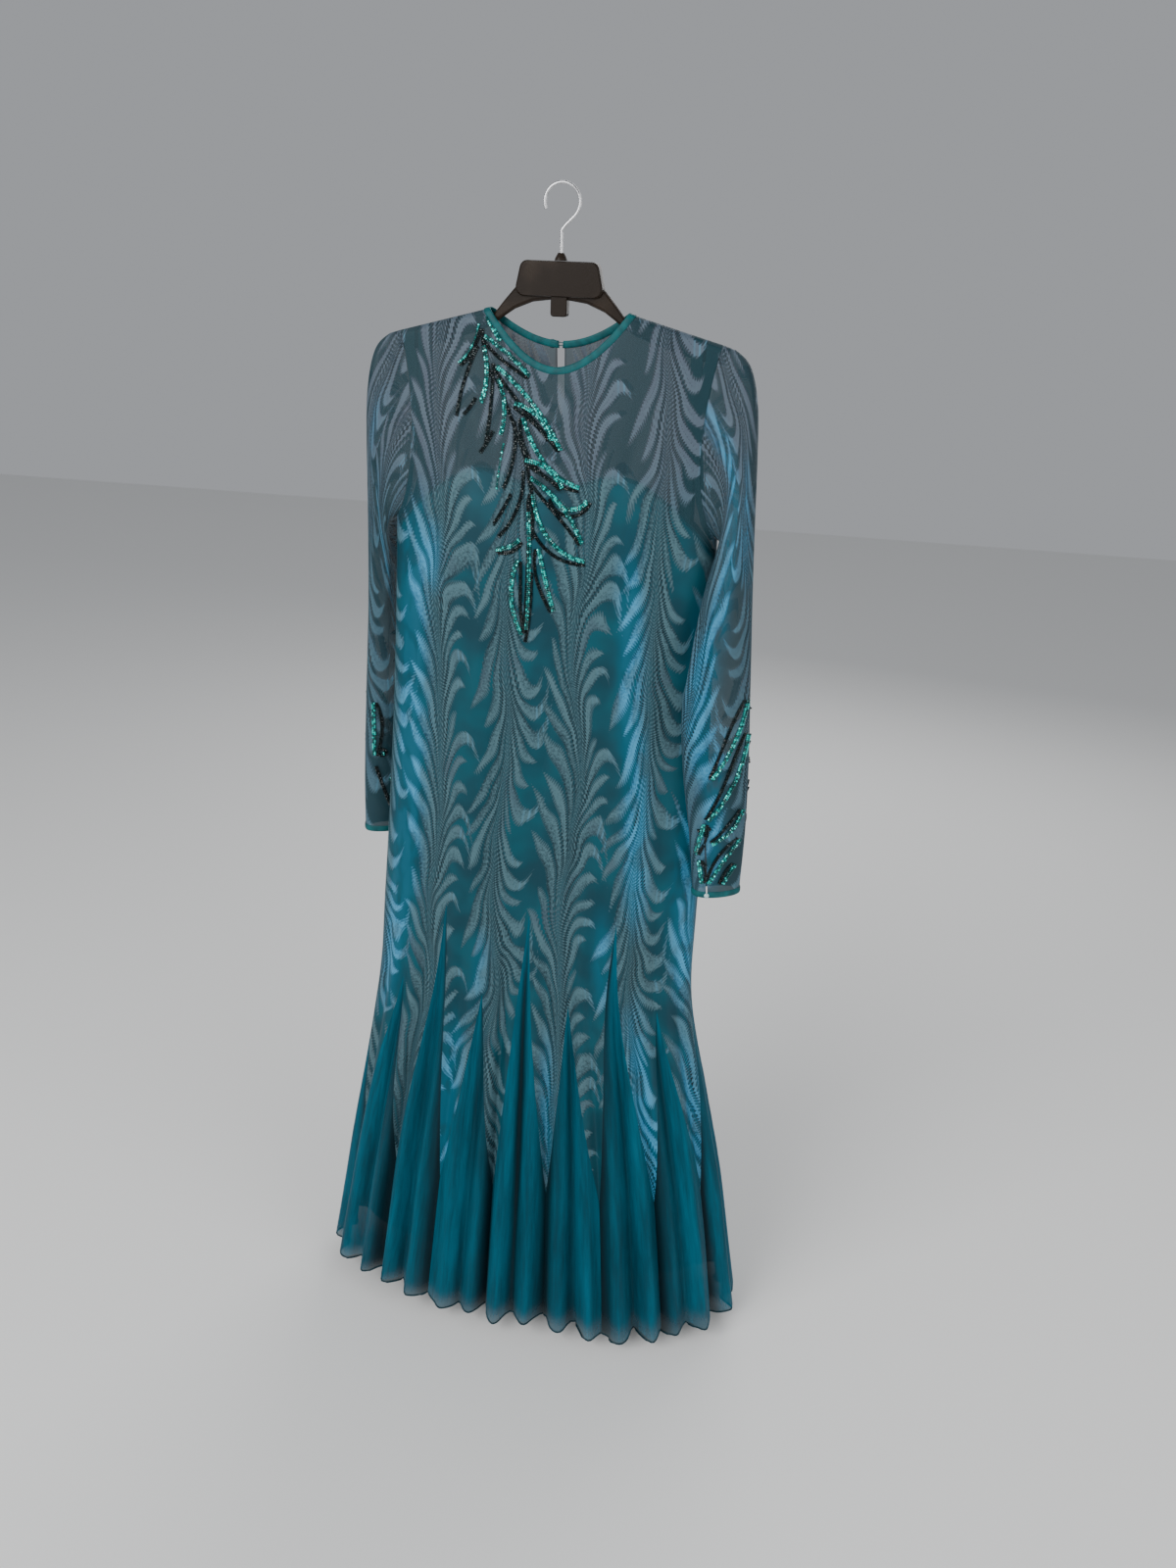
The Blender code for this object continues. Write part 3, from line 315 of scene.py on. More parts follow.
def yoke_depth(x, z, back):
    """How far the cloth hangs from the middle plane above the chest."""
    half_width, front, behind, _ = section(z)
    depth = behind if back else front
    drop = np.maximum(0.0, shoulder_z(x) - z)
    fall = np.minimum(1.0, drop / (shoulder_z(x) - CHEST_Z))
    eased = 1 - (1 - fall) ** 1.7
    share = np.minimum(np.abs(x) / half_width, 1.0)
    round_edge = (1 - share**OVAL_POWER) ** (1 / OVAL_POWER)
    square_edge = (1 - share**8) ** (1 / 8)
    turned = np.sqrt(np.maximum(0.0, 2 * ROOF_RADIUS * drop - drop * drop))
    over_arm = np.where(drop >= ROOF_RADIUS, ROOF_RADIUS, turned)
    hung = round_edge * (over_arm + (depth - over_arm) * eased)
    return hung + (square_edge - round_edge) * over_arm * (1 - eased)


def stacked(x, y, z):
    """Points from their coordinates."""
    return np.stack(np.broadcast_arrays(x, y, z), axis=-1)


def mesh_object(name, points, faces, its_finish, merge=0.0, outward=False, smooth=True, **fields):
    """A piece from points and faces, with a value or a vector for each point in each field."""
    mesh = bpy.data.meshes.new(name)
    mesh.from_pydata(np.asarray(points).tolist(), [], faces)
    for title, values in fields.items():
        kind, read = ("FLOAT_VECTOR", "vector") if values.ndim == 2 else ("FLOAT", "value")
        layer = mesh.attributes.new(title, kind, "POINT")
        layer.data.foreach_set(read, values.ravel().astype(np.float32))
    work = bmesh.new()
    work.from_mesh(mesh)
    if merge:
        bmesh.ops.remove_doubles(work, verts=work.verts, dist=merge)
        bmesh.ops.dissolve_degenerate(work, edges=work.edges, dist=1e-6)
    if outward:
        bmesh.ops.recalc_face_normals(work, faces=work.faces)
    work.to_mesh(mesh)
    work.free()
    if smooth:
        mesh.shade_smooth()
    mesh.materials.append(its_finish)
    made = bpy.data.objects.new(name, mesh)
    bpy.context.scene.collection.objects.link(made)
    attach(made, "root")
    return made


def cloth_object(name, parts, its_finish, flip=False, **fields):
    """A piece of cloth from grids of points (rows, columns, 3), with a grid of values in each field."""
    faces, start = [], 0
    for part in parts:
        rows, columns = part.shape[:2]
        corner = (start + np.arange(rows - 1)[:, None] * columns + np.arange(columns - 1)).ravel()
        faces.append(np.stack([corner, corner + columns, corner + columns + 1, corner + 1], axis=-1))
        start += rows * columns
    faces = np.concatenate(faces)[:, :: -1 if flip else 1].tolist()
    points = np.concatenate([part.reshape(-1, 3) for part in parts])
    for title, grids in fields.items():
        fields[title] = np.concatenate([grid.reshape(-1, *grid.shape[2:]) for grid in grids])
    return mesh_object(name, points, faces, its_finish, merge=MERGE_WITHIN, **fields)


def woven_cloth():
    """Plain close weave: fine crossed threads as a height, with faint slubs as a shade."""
    graph, entry = shader_group("plain_weave", "Place, Pitch", "Threads, Slubs")
    x, y, _ = graph.split(entry["Place"])
    crossed = graph.sine(x / entry["Pitch"] * math.tau) * graph.sine(y / entry["Pitch"] * math.tau)
    slubs = graph.noise(entry["Place"], (900.0, 40.0, 1.0), 3.0, 0.6)
    return graph.give(threads=crossed * 0.5 + 0.5, slubs=slubs)


weave_group = woven_cloth()
graph = finish("teal_lining", sheen_weight=0.25, sheen_roughness=0.4, specular_ior_level=0.35)
place = graph.attribute("cloth", "Vector")
weave = graph.group(weave_group, place=place, pitch=0.0009)
soft = graph.ease(graph.noise(place, (9.0, 4.0, 1.0)), 0.3, 0.7)
teal = graph.mix(soft, (0.0012, 0.066, 0.083), (0.0022, 0.092, 0.112))
lining_finish = graph.give(
    base_color=graph.mix(weave["Slubs"] * 0.35, teal, (0.001, 0.045, 0.058)),
    roughness=graph.ease(weave["Slubs"], 0.2, 0.8, 0.42, 0.55),
    normal=graph.bump(weave["Threads"], 0.0001, 0.3),
)

LINING_GAP, YOKE_ROOM, DRAPE_ROOM, FLUTE_ROOM = 0.0050, 0.0040, 0.0040, 0.0190
LINING_HEM_Z, LINING_TOP_X, LINING_PER_S = -1.3650, 0.1850, 0.05
TURNED_EDGE = ((0.0024, -0.0070), (0.0012, 0.0006))
# By back: height of the slip's top edge at the centre, rise of its peaks, and drop at the sides.
LINING_TOPS = {False: (-0.312, 0.020, 0.062), True: (-0.318, 0.0, 0.055)}


def lining_depth(x, z, back):
    """How far the slip hangs from the middle plane above the chest, inside the yoke."""
    chest = section(CHEST_Z)[0]
    under_x = np.abs(x) * chest / (chest - LINING_GAP)
    share = np.minimum(under_x / chest, 1.0)
    return np.maximum(0.0, yoke_depth(under_x, z, back) - YOKE_ROOM * (1 - share**4))


def lining_points(s, z, back):
    """The slip's surface, a little inside the body and clear of the flutes."""
    half_width, front, behind, shift = section(z)
    flutes = np.maximum(0.0, (FLUTE_START_Z - z) / (FLUTE_START_Z - HEM_Z)) ** 0.8
    drapes = part_of(CHEST_Z - 0.02 - z, 0.08)
    inset = LINING_GAP + FLUTE_ROOM * flutes + DRAPE_ROOM * drapes
    x, y = oval(s, half_width - inset, front - inset, behind - inset)
    chest = section(CHEST_Z)
    deep = chest[2 if back else 1] - LINING_GAP
    over_x, over_y = oval(s, chest[0] - LINING_GAP, deep, deep)
    hung = lining_depth(over_x, z, back)
    hung = np.maximum(hung, np.where(np.abs(over_y) < 0.002, np.abs(over_y), 0.0))
    above = z > CHEST_Z
    return np.where(above, over_x, x + shift), np.where(above, hung if back else -hung, y)


def lining_top(x, back):
    """Height of the slip's top edge at x: two soft peaks in front, nearly straight behind."""
    middle_z, rise, drop = LINING_TOPS[back]
    share = np.abs(x) / LINING_TOP_X
    peaks = np.sin(math.pi * np.minimum(share * 1.15, 1.0)) ** 2
    return middle_z + rise * peaks - drop * share**5


for name, back in (("lining_front", False), ("lining_back", True)):
    u = np.linspace(-3.999, 3.999, 97)[None, :]
    s = 8.0 - u if back else u
    top = lining_top(lining_points(s, CHEST_Z, back)[0], back)
    above = top + (CHEST_Z - top) * np.linspace(0.0, 1.0, 13)[:, None]
    below = np.linspace(CHEST_Z - 0.008, LINING_HEM_Z, 120)[:, None] + 0.0 * top
    z = np.concatenate([above, below])
    x, y = lining_points(s + 0.0 * z, z, back)
    body = stacked(x, y, z)
    turned = [body[:1] + stacked(0.0, -inward * np.sign(y[:1]), up) for inward, up in TURNED_EDGE]
    sheet = np.concatenate([*turned, body])
    place = stacked(s * LINING_PER_S, sheet[..., 2], 0.0)
    made = cloth_object(f"{name}_cloth", [sheet], lining_finish, flip=back, cloth=[place])
    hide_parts(name)


# The gown's front and back: sheer leaf-patterned cloth, each panel one piece from the shoulder to the
# points between the godets, seamed at the sides and over the arms of the hanger. The back is slit.
UNDERARM_Z, UNDERARM_ROW = -0.3600, 0.82
TALL_TOP_Z, SHORT_TOP_Z, LACE_TIP_Z = -0.8400, -0.9630, -1.2400
NECK_S = 2.0
NECK_FRONT_Z, NECK_BACK_Z = -0.1900, -0.1640
SLIT_ROW, SLIT_HALF_WIDTH = 0.300, 0.0052
# Columns: height and x of the armhole's edge.
ARMHOLE = (
    (TIP_Z, TIP_X),
    (-0.1800, 0.1735),
    (-0.2200, 0.1675),
    (-0.2600, 0.1655),
    (-0.3000, 0.1680),
    (-0.3350, 0.1755),
    (UNDERARM_Z, 0.1888),
)
# For each godet's line: how far out stand the cloth before it, its first ridge, its middle and its
# second ridge, in millimetres, and how far it leans along s.
FLUTES = {
    -7: (-12, 13, -9, 15, 0.02),
    -6: (-9, 16, -12, 12, -0.03),
    -5: (-13, 12, -10, 14, 0.04),
    -4: (-10, 15, -11, 13, -0.02),
    -3: (-6, 16, -8, 12, 0.03),
    -2: (-11, 14, -12, 17, -0.04),
    -1: (-3, 13, -9, 12, 0.05),
    0: (-14, 18, -8, 14, -0.02),
    1: (-14, 12, -11, 16, 0.03),
    2: (-2, 17, -12, 15, 0.04),
    3: (-7, 12, -9, 14, -0.05),
    4: (-10, 16, -6, 12, 0.02),
    5: (-8, 13, -11, 15, 0.02),
    6: (-8, 17, -10, 13, 0.03),
    7: (-13, 12, -12, 16, -0.04),
    8: (-9, 15, -10, 14, 0.02),
}
# Columns: place along s, height of the top and the foot, spread along s, and how far out.
DRAPES = (
    (-3.15, -0.34, -1.00, 0.30, 0.0045),
    (-2.55, -0.55, -0.98, 0.25, -0.0035),
    (-1.05, -0.46, -1.00, 0.22, -0.0050),
    (-0.62, -0.50, -0.95, 0.24, 0.0040),
    (1.05, -0.55, -0.99, 0.22, -0.0035),
    (1.90, -0.42, -0.95, 0.26, 0.0045),
    (2.80, -0.50, -1.00, 0.24, -0.0050),
    (5.30, -0.40, -0.98, 0.28, 0.0045),
    (6.70, -0.48, -0.99, 0.26, -0.0040),
    (-5.20, -0.45, -0.98, 0.28, 0.0045),
    (-6.60, -0.38, -0.99, 0.26, -0.0040),
)


def flute_knots():
    """Places along s of the hem's valleys and ridges, and how far out each stands."""
    knots = []
    for line, (lace_side, ridge_one, middle, ridge_two, lean) in FLUTES.items():
        knots += [(line - 0.5, lace_side), (line - 0.25 + lean, ridge_one)]
        knots += [(line + lean, middle), (line + 0.25 + lean, ridge_two)]
    knots = np.array(sorted(knots))
    knots = np.concatenate([knots[-1:] - (16, 0), knots, knots[:1] + (16, 0)])
    return knots[:, 0], knots[:, 1] / 1000.0


KNOT_S, KNOT_OUT = flute_knots()


def flute(s):
    """How far the hem stands out from the oval at s: broad ridges with narrow valleys."""
    s = wrapped(s)
    s = np.where(s < KNOT_S[0], s + 16, s)
    i = np.clip(np.searchsorted(KNOT_S, s) - 1, 0, len(KNOT_S) - 2)
    t = np.clip((s - KNOT_S[i]) / (KNOT_S[i + 1] - KNOT_S[i]), 0.0, 1.0)
    rising = KNOT_OUT[i + 1] > KNOT_OUT[i]
    low = np.where(rising, KNOT_OUT[i], KNOT_OUT[i + 1])
    high = np.where(rising, KNOT_OUT[i + 1], KNOT_OUT[i])
    up = 0.5 - 0.5 * np.cos(math.pi * np.where(rising, t, 1 - t))
    return low + (high - low) * up**0.68


def fold_out(s, z):
    """The flutes of the hem and the long soft folds above them."""
    out = flute(s) * np.maximum(0.0, (FLUTE_START_Z - z) / (FLUTE_START_Z - HEM_Z))
    for at, top, foot, spread, height in DRAPES:
        along = np.sin(math.pi * np.clip((top - z) / (top - foot), 0.0, 1.0))
        out = out + height * along * np.exp(-((wrapped(s - at) / spread) ** 2))
    return out


def tube_points(s, z):
    """The body's surface below the chest."""
    half_width, front, behind, shift = section(z)
    x, y = oval(s, half_width, front, behind)
    ahead_x, ahead_y = oval(s + 0.01, half_width, front, behind)
    last_x, last_y = oval(s - 0.01, half_width, front, behind)
    along_x, along_y = ahead_x - last_x, ahead_y - last_y
    out = fold_out(s, z) / np.hypot(along_x, along_y)
    return stacked(x + along_y * out + shift, y - along_x * out, z)


def neck_curve(share, lowest_z):
    """Points on half a neckline, share 0 at the centre and 1 at the neck point."""
    out = 1 - (1 - share) ** 1.6
    return NECK_X * out, NECK_Z + (lowest_z - NECK_Z) * (1 - out**1.9)


def yoke_points(turn, row, back):
    """The surface between the top edge and the chest, on the +X half. Row 0 is the top edge."""
    neck_x, neck_z = neck_curve(np.minimum(turn / NECK_S, 1.0), NECK_BACK_Z if back else NECK_FRONT_Z)
    over_x = NECK_X + (TIP_X - NECK_X) * (turn - NECK_S) / (4.0 - NECK_S)
    on_neck = turn <= NECK_S
    top_x, top_z = np.where(on_neck, neck_x, over_x), np.where(on_neck, neck_z, shoulder_z(over_x))
    half_width, front, behind, _ = section(CHEST_Z)
    deep = behind if back else front
    chest_x, _ = oval(turn * 0.99999, half_width, deep, deep)
    corner_x, corner_z = TIP_X + (half_width - TIP_X) * row, TIP_Z + (CHEST_Z - TIP_Z) * row
    seam_z = UNDERARM_Z + (CHEST_Z - UNDERARM_Z) * (row - UNDERARM_ROW) / (1 - UNDERARM_ROW)
    arm_z = TIP_Z + (UNDERARM_Z - TIP_Z) * row / UNDERARM_ROW
    on_seam = row >= UNDERARM_ROW
    side_z = np.where(on_seam, seam_z, arm_z)
    side_x = np.where(on_seam, section(seam_z)[0], table_at(ARMHOLE, arm_z)[0])
    pull = (turn / 4.0) ** 2.5
    x = top_x + (chest_x - top_x) * row + pull * (side_x - corner_x)
    z = top_z + (CHEST_Z - top_z) * row + pull * (side_z - corner_z)
    depth = np.where((turn > 3.999) & on_seam, 0.0, yoke_depth(x, z, back))
    return stacked(x, depth if back else -depth, z)


def creases(place, table, size=1.0):
    """Soft ridges, and troughs below zero, each on a line (across, z) to (across, z) with its half
    width and height, all in millimetres but for the heights z in metres."""
    across, z = place[..., 0], place[..., 1]
    out = 0.0 * across
    for first, top, second, foot, spread, height in table:
        run_a, run_z = (second - first) / 1000, foot - top
        run = math.hypot(run_a, run_z)
        near_a, near_z = across - first / 1000, z - top
        along = (near_a * run_a + near_z * run_z) / run**2
        aside = (near_a * run_z - near_z * run_a) / run
        fade = np.clip(1 - (2 * along - 1) ** 2, 0.0, 1.0) ** 1.5
        out = out + size * height / 1000 * fade * np.exp(-((aside / (spread / 1000)) ** 2))
    return out


def glow(place, table):
    """How much painted blue sheen the cloth's colour takes, from a table like the creases' with its
    strengths from 0 up.
    """
    return np.clip(creases(place, table, 1000.0), 0.0, 1.0)


def unit(vectors):
    """The same directions with length 1."""
    return vectors / np.maximum(np.linalg.norm(vectors, axis=-1, keepdims=True), 1e-12)


def pushed(sheet, heights):
    """A grid of points moved along its own normals."""
    down, along = np.gradient(sheet, axis=0), np.gradient(sheet, axis=1)
    return sheet + unit(np.cross(along, down)) * heights[..., None]


def godet_top(line):
    """Height of a godet's point: tall and short by turns."""
    return TALL_TOP_Z if line % 2 == 0 else SHORT_TOP_Z


def godet_half_width(line, z):
    """Half width along s of the godet on a line."""
    top = godet_top(line)
    return np.clip(0.5 * (top - z) / (top - LACE_TIP_Z), 0.0, 0.5)


# Columns of every table of creases or of painted blue sheen: across and height of one end, then of the
# other, half width, and how far out or how bright. Heights are in metres and the rest in millimetres.
FRONT_CREASES = (
    (-118, -0.215, -88, -0.330, 9, -1.6),
    (-100, -0.200, -66, -0.320, 8, 1.4),
    (104, -0.205, 80, -0.330, 9, -1.5),
    (128, -0.230, 112, -0.370, 8, 1.4),
    (-30, -0.235, -8, -0.330, 10, 1.2),
    (28, -0.240, 14, -0.345, 9, -1.2),
    (-150, -0.385, -110, -0.445, 8, -1.6),
    (-158, -0.420, -96, -0.520, 9, 1.6),
    (150, -0.392, 104, -0.455, 8, -1.5),
    (160, -0.430, 118, -0.540, 9, 1.4),
    (-70, -0.420, -92, -0.640, 9, 1.7),
    (-48, -0.500, -60, -0.760, 7, -1.5),
    (-26, -0.460, -18, -0.700, 9, 1.3),
    (10, -0.520, 2, -0.800, 8, -1.4),
    (34, -0.600, 42, -0.860, 7, 1.7),
    (58, -0.560, 54, -0.790, 8, -1.5),
    (76, -0.690, 86, -0.890, 7, 1.6),
    (-112, -0.600, -120, -0.860, 8, -1.5),
    (-140, -0.540, -136, -0.800, 9, 1.5),
    (120, -0.520, 134, -0.780, 9, -1.5),
    (150, -0.620, 148, -0.860, 8, 1.5),
    (-12, -0.780, -26, -0.960, 7, -1.3),
    (98, -0.800, 104, -0.980, 7, -1.4),
)
BACK_CREASES = (
    (-112, -0.210, -84, -0.340, 9, -1.5),
    (-128, -0.240, -104, -0.380, 8, 1.3),
    (108, -0.205, 86, -0.320, 9, -1.4),
    (90, -0.215, 62, -0.350, 8, 1.3),
    (-24, -0.270, -10, -0.380, 9, 1.1),
    (30, -0.260, 18, -0.370, 9, -1.1),
    (-152, -0.390, -108, -0.460, 8, -1.5),
    (150, -0.395, 102, -0.470, 8, -1.6),
    (-76, -0.430, -84, -0.660, 9, 1.5),
    (-40, -0.480, -50, -0.730, 8, -1.4),
    (4, -0.520, 10, -0.790, 9, 1.4),
    (42, -0.560, 34, -0.820, 8, -1.5),
    (74, -0.480, 84, -0.720, 9, 1.5),
    (-108, -0.620, -116, -0.860, 8, -1.4),
    (116, -0.560, 128, -0.800, 8, -1.4),
    (-18, -0.760, -8, -0.950, 7, 1.3),
    (64, -0.780, 72, -0.960, 7, -1.3),
    (146, -0.640, 142, -0.870, 8, 1.4),
)
EDGE_ROWS = (0.0, 0.003, 0.006, 0.011, 0.018, 0.027, 0.038, 0.050)
YOKE_FINE = np.concatenate([EDGE_ROWS, np.linspace(0.065, 1.0, 62)])
TUBE_FINE = np.concatenate([np.linspace(-0.405, TALL_TOP_Z, 88), np.linspace(-0.845, -1.236, 80)])
SHEER_ABOVE_Z = -0.3720


def slit_half_width(row):
    """Half the width of the centre back slit at a share of the way down the yoke."""
    open_share = np.clip(3.0 * (SLIT_ROW - row) / SLIT_ROW, 0.0, 1.0)
    return SLIT_HALF_WIDTH * open_share**0.5


def lace_strips(back):
    """Grids of points and of cloth places for the eight strips of a panel, points at the foot."""
    share = np.linspace(0.0, 1.0, 17)[None, :]
    centre, deep = (8, 2) if back else (0, 1)
    chest, at_top = section(CHEST_Z), section(TALL_TOP_Z)
    s_fine = np.linspace(0.0, 4.0, 401)
    chest_x = np.abs(tube_points(centre - s_fine if back else s_fine, CHEST_Z)[..., 0])
    top_length = quarter_length(at_top[0], at_top[deep])
    strips = []
    for k in range(-4, 4):
        side = 1.0 if k >= 0 else -1.0
        turn, row = np.broadcast_arrays(np.abs(k + share), YOKE_FINE[:, None])
        yoke = yoke_points(turn, row, back)
        yoke[..., 0] *= side
        if back and k in (-1, 0):
            yoke[:, k, 0] = side * slit_half_width(YOKE_FINE)
        chest_s = np.interp(np.abs(yoke[..., 0]), chest_x, s_fine)
        yoke_a = chest_s / 4 * quarter_length(chest[0], chest[deep]) * side
        z = TUBE_FINE[:, None] + 0.0 * share
        lines = (centre - k, centre - k - 1) if back else (k, k + 1)
        low, high = (godet_half_width(line, z) for line in lines)
        u = k + low + (1 - low - high) * share
        tube = tube_points(centre - u if back else u, z)
        sizes = section(z)
        length = quarter_length(sizes[0], sizes[deep])
        below = (k + 0.5) / 4 * top_length + (u - k - 0.5) / 4 * length
        tube_a = np.where(z >= TALL_TOP_Z, u / 4 * length, below)
        sheet = np.concatenate([yoke, tube])
        strips.append((sheet, stacked(np.concatenate([yoke_a, tube_a]), sheet[..., 2], 0.0)))
    return strips


def panel(name, back, folds, shine):
    """One panel with its creases, and at each point how much painted blue sheen its colour takes."""
    parts, places, shines, slips = [], [], [], []
    for sheet, place in lace_strips(back):
        x, z = np.abs(sheet[..., 0]), sheet[..., 2]
        calm = np.where(z < CHEST_Z, 1.0, part_of(0.172 - x, 0.03))
        calm *= part_of(-0.165 - z, 0.05) * part_of(z + 1.0, 0.06)
        heights = creases(place, folds) * calm
        parts.append(pushed(sheet, heights if back else -heights))
        places.append(place)
        shines.append(glow(place, shine))
        slips.append(np.clip((lining_top(x, back) - z) / 0.008 + 0.5, 0.0, 1.0))
    fields = {"cloth": places, "shine": shines, "slip": slips}
    made = cloth_object(f"{name}_cloth", parts, leaf_finishes[0], flip=back, **fields)
    made.data.materials.append(leaf_finishes[1])
    for face in made.data.polygons:
        face.material_index = 1 if face.center.z > SHEER_ABOVE_Z else 0
    return made


REPEAT_X, REPEAT_Y = 0.172, 0.320
RIGHT_LEAVES, LEFT_LEAVES = 10, 7
RIGHT_REACH, LEFT_REACH = 0.049, 0.040
STITCH_PITCH, STITCH_DEPTH = 0.0048, 0.0009
GLINT_PITCH = 0.0060


def feather_frond():
    """A frond of long leaves that rise from an axis and part from it, hooked over on the right."""
    graph, entry = shader_group("feather_frond", "Place, Seed", "Cover, Line, Tone, Glint")
    seed = entry["Seed"]
    x, y, _ = graph.split(entry["Place"])
    sway = graph.sine(y * (math.tau / REPEAT_Y) + seed)
    x = graph.math("WRAP", sway * 0.005 + x, REPEAT_X / 2, -REPEAT_X / 2)
    right = graph.math("GREATER_THAN", x, 0.0)

    def by_side(on_right, on_left):
        return right * (on_right - on_left) + on_left

    out = abs(x) + 0.0012
    rise, hook = by_side(0.046, 0.052), by_side(0.045, -0.012)
    turned = hook * (out / 0.048) ** 4.0
    lift = rise * graph.math("LOGARITHM", out / 0.003, math.e) - turned
    slope = (turned * -4.0 + rise) / out
    count = by_side(RIGHT_LEAVES, LEFT_LEAVES)
    pitch = by_side(REPEAT_Y / RIGHT_LEAVES, REPEAT_Y / LEFT_LEAVES)
    row = (y - lift) / pitch
    number = graph.math("FLOORED_MODULO", graph.math("FLOOR", row), count)
    wild = graph.sine((number + seed + right * 0.37) * 12.9898)
    chance, other_chance = (graph.math("FRACT", wild * size) for size in (4375.85453, 2463.63450))
    size = chance * 0.60 + (graph.sine(number / count * math.tau + seed) * 0.20 + 0.68)
    along = out / (by_side(RIGHT_REACH, LEFT_REACH) * size)
    half = graph.math("MINIMUM", along**1.6 * -0.51 + 0.51, other_chance * 0.14 + 0.38)
    gap = pitch / graph.math("SQRT", slope * slope + 1.0)
    off = graph.math("FRACT", row) - 0.5
    teeth = graph.sine((out * 1.3 + y) * (math.tau / STITCH_PITCH))
    inside = teeth * STITCH_DEPTH + (half - abs(off)) * gap - graph.ease(along, 0.80, 1.0, 0.0, 0.0022)
    cover = ((inside + 0.0007) * 1800.0).held() * graph.math("LESS_THAN", along, 1.0)
    clear = ((out - 0.001) / 0.007).held()
    edge = ((0.00175 - inside) * 1500.0).held() * (clear * 0.50 + 0.50)
    edge = edge * graph.ease(half, 0.34, 0.47, 0.60, 1.0) * graph.ease(teeth, -0.2, 0.8, 1.0, 0.60)
    vein = (abs(off * gap) * -2200.0 + 1.0).held() * graph.ease(teeth, -0.2, 0.3)
    vein = vein * graph.ease(along, 0.50, 0.70, 0.5, 0.0) * graph.ease(gap, 0.005, 0.009)
    # Glint: painted highlight stripes across the tips of some hooked right-hand leaves.
    glint = graph.ease(graph.sine(out * (math.tau / GLINT_PITCH)), 0.2, 0.7) * right
    glint = glint * graph.ease(along, 0.52, 0.66) * graph.ease(chance, 0.35, 0.65)
    # Tone of each leaf: a random shade per leaf, lighter towards the tip, and painted shade across the
    # leaf, lighter on one side and darker on the other as if lit from that side.
    tone = off * 0.90 + (other_chance * 0.50 + 0.15) + graph.ease(along, 0.5, 1.0, 0.0, 0.25)
    return graph.give(cover=cover, line=graph.math("MAXIMUM", edge, vein), tone=tone, glint=glint)


def leaf_figure():
    """The figure of the cloth: fronds opening upward, laid over fronds that hang down between them."""
    frond = feather_frond()
    graph, entry = shader_group("leaf_figure", "Place", "Leaf, Edge, Tone, Glint")
    rising = graph.group(frond, place=entry["Place"], seed=1.0)
    moved = graph.vector("ADD", entry["Place"], (REPEAT_X / 2, -0.050, 0.0))
    hanging = graph.group(frond, place=graph.vector("MULTIPLY", moved, (1.0, -1.0, 1.0)), seed=2.0)

    def laid(over, under):
        return (over - under) * rising["Cover"] + under

    line = laid(rising["Line"], hanging["Line"] * hanging["Cover"])
    return graph.give(
        leaf=graph.math("MAXIMUM", rising["Cover"], hanging["Cover"]) * (1.0 - line),
        edge=line,
        tone=laid(rising["Tone"], hanging["Tone"]),
        glint=laid(rising["Glint"], hanging["Glint"]),
    )


def jacquard():
    """Colour and relief of the leaf cloth: mauve-grey satin leaves, dark stitches, thin teal ground.
    The colour also holds painted blue sheen, painted glints and painted shade across the leaves.
    """
    figure = leaf_figure()
    takes, gives = "Place, Shine, Over Slip", "Colour, Relief, Solid, Gloss"
    graph, entry = shader_group("leaf_jacquard_cloth", takes, gives)
    at = entry["Place"]
    sway = graph.noise(at, (9.0, 8.0, 1.0), 1.0) * 0.030 + -0.057
    lean = graph.noise(at, (22.0, 15.0, 1.0), 1.0) * 0.050 + 0.835
    moved = graph.vector("ADD", at, graph.node("CombineXYZ", (sway, lean), 0))
    drawn = graph.group(figure, place=moved)
    threads = graph.group(weave_group, place=at, pitch=0.0011)
    grain = graph.noise(at, (420.0, 1500.0, 1.0), 2.0, 0.7)
    blotch = graph.noise(at, 16.0)
    speck = graph.noise(at, (330.0, 290.0, 1.0), 2.0, 0.8)
    patchy = graph.noise(at, (70.0, 26.0, 1.0), 1.0)
    _, height, _ = graph.split(at)
    bare = 1.0 - entry["Over Slip"]
    # Painted blue sheen: along the shine streaks the leaves and the ground below are coloured blue,
    # standing in for reflected light.
    lit = entry["Shine"] * graph.ease(patchy, 0.34, 0.52, 0.45, 1.0)
    tone = (drawn["Tone"] + (grain * 0.40 - 0.20) + (speck * 2.6 - 0.90)).held()
    grey = graph.mix(tone, (0.003, 0.020, 0.030), (0.058, 0.126, 0.150))
    mauve = graph.mix(graph.ease(blotch, 0.52, 0.75, 0.0, 0.6), grey, (0.040, 0.066, 0.090))
    pale = graph.mix(graph.ease(height, -0.400, -0.250), (0.044, 0.104, 0.160), (0.088, 0.100, 0.138))
    leaf = graph.mix(bare * graph.ease(height, -0.420, -0.250, 0.42, 0.60), mauve, pale)
    # Painted highlight: the glint stripes colour those leaf tips pale blue.
    glint = drawn["Glint"] * graph.ease(blotch, 0.40, 0.56, 0.10, 0.50)
    leaf = graph.mix(glint, leaf, (0.070, 0.220, 0.320))
    leaf = graph.mix(lit, leaf, graph.mix(tone, (0.008, 0.110, 0.220), (0.050, 0.270, 0.450)))
    ground = graph.mix(graph.ease(blotch, 0.35, 0.7), (0.0004, 0.033, 0.049), (0.0010, 0.062, 0.086))
    ground = graph.mix(bare, ground, (0.0070, 0.034, 0.046))
    ground = graph.mix(lit * 0.8, ground, (0.002, 0.090, 0.145))
    ground = graph.mix(drawn["Edge"] * 0.95, ground, (0.0010, 0.009, 0.014))
    return graph.give(
        colour=graph.mix(drawn["Leaf"], ground, leaf),
        relief=drawn["Leaf"] + threads["Threads"] * drawn["Leaf"] * 0.22,
        solid=drawn["Leaf"],
        gloss=grain * -0.12 + (drawn["Leaf"] * -0.10 + 0.62),
    )


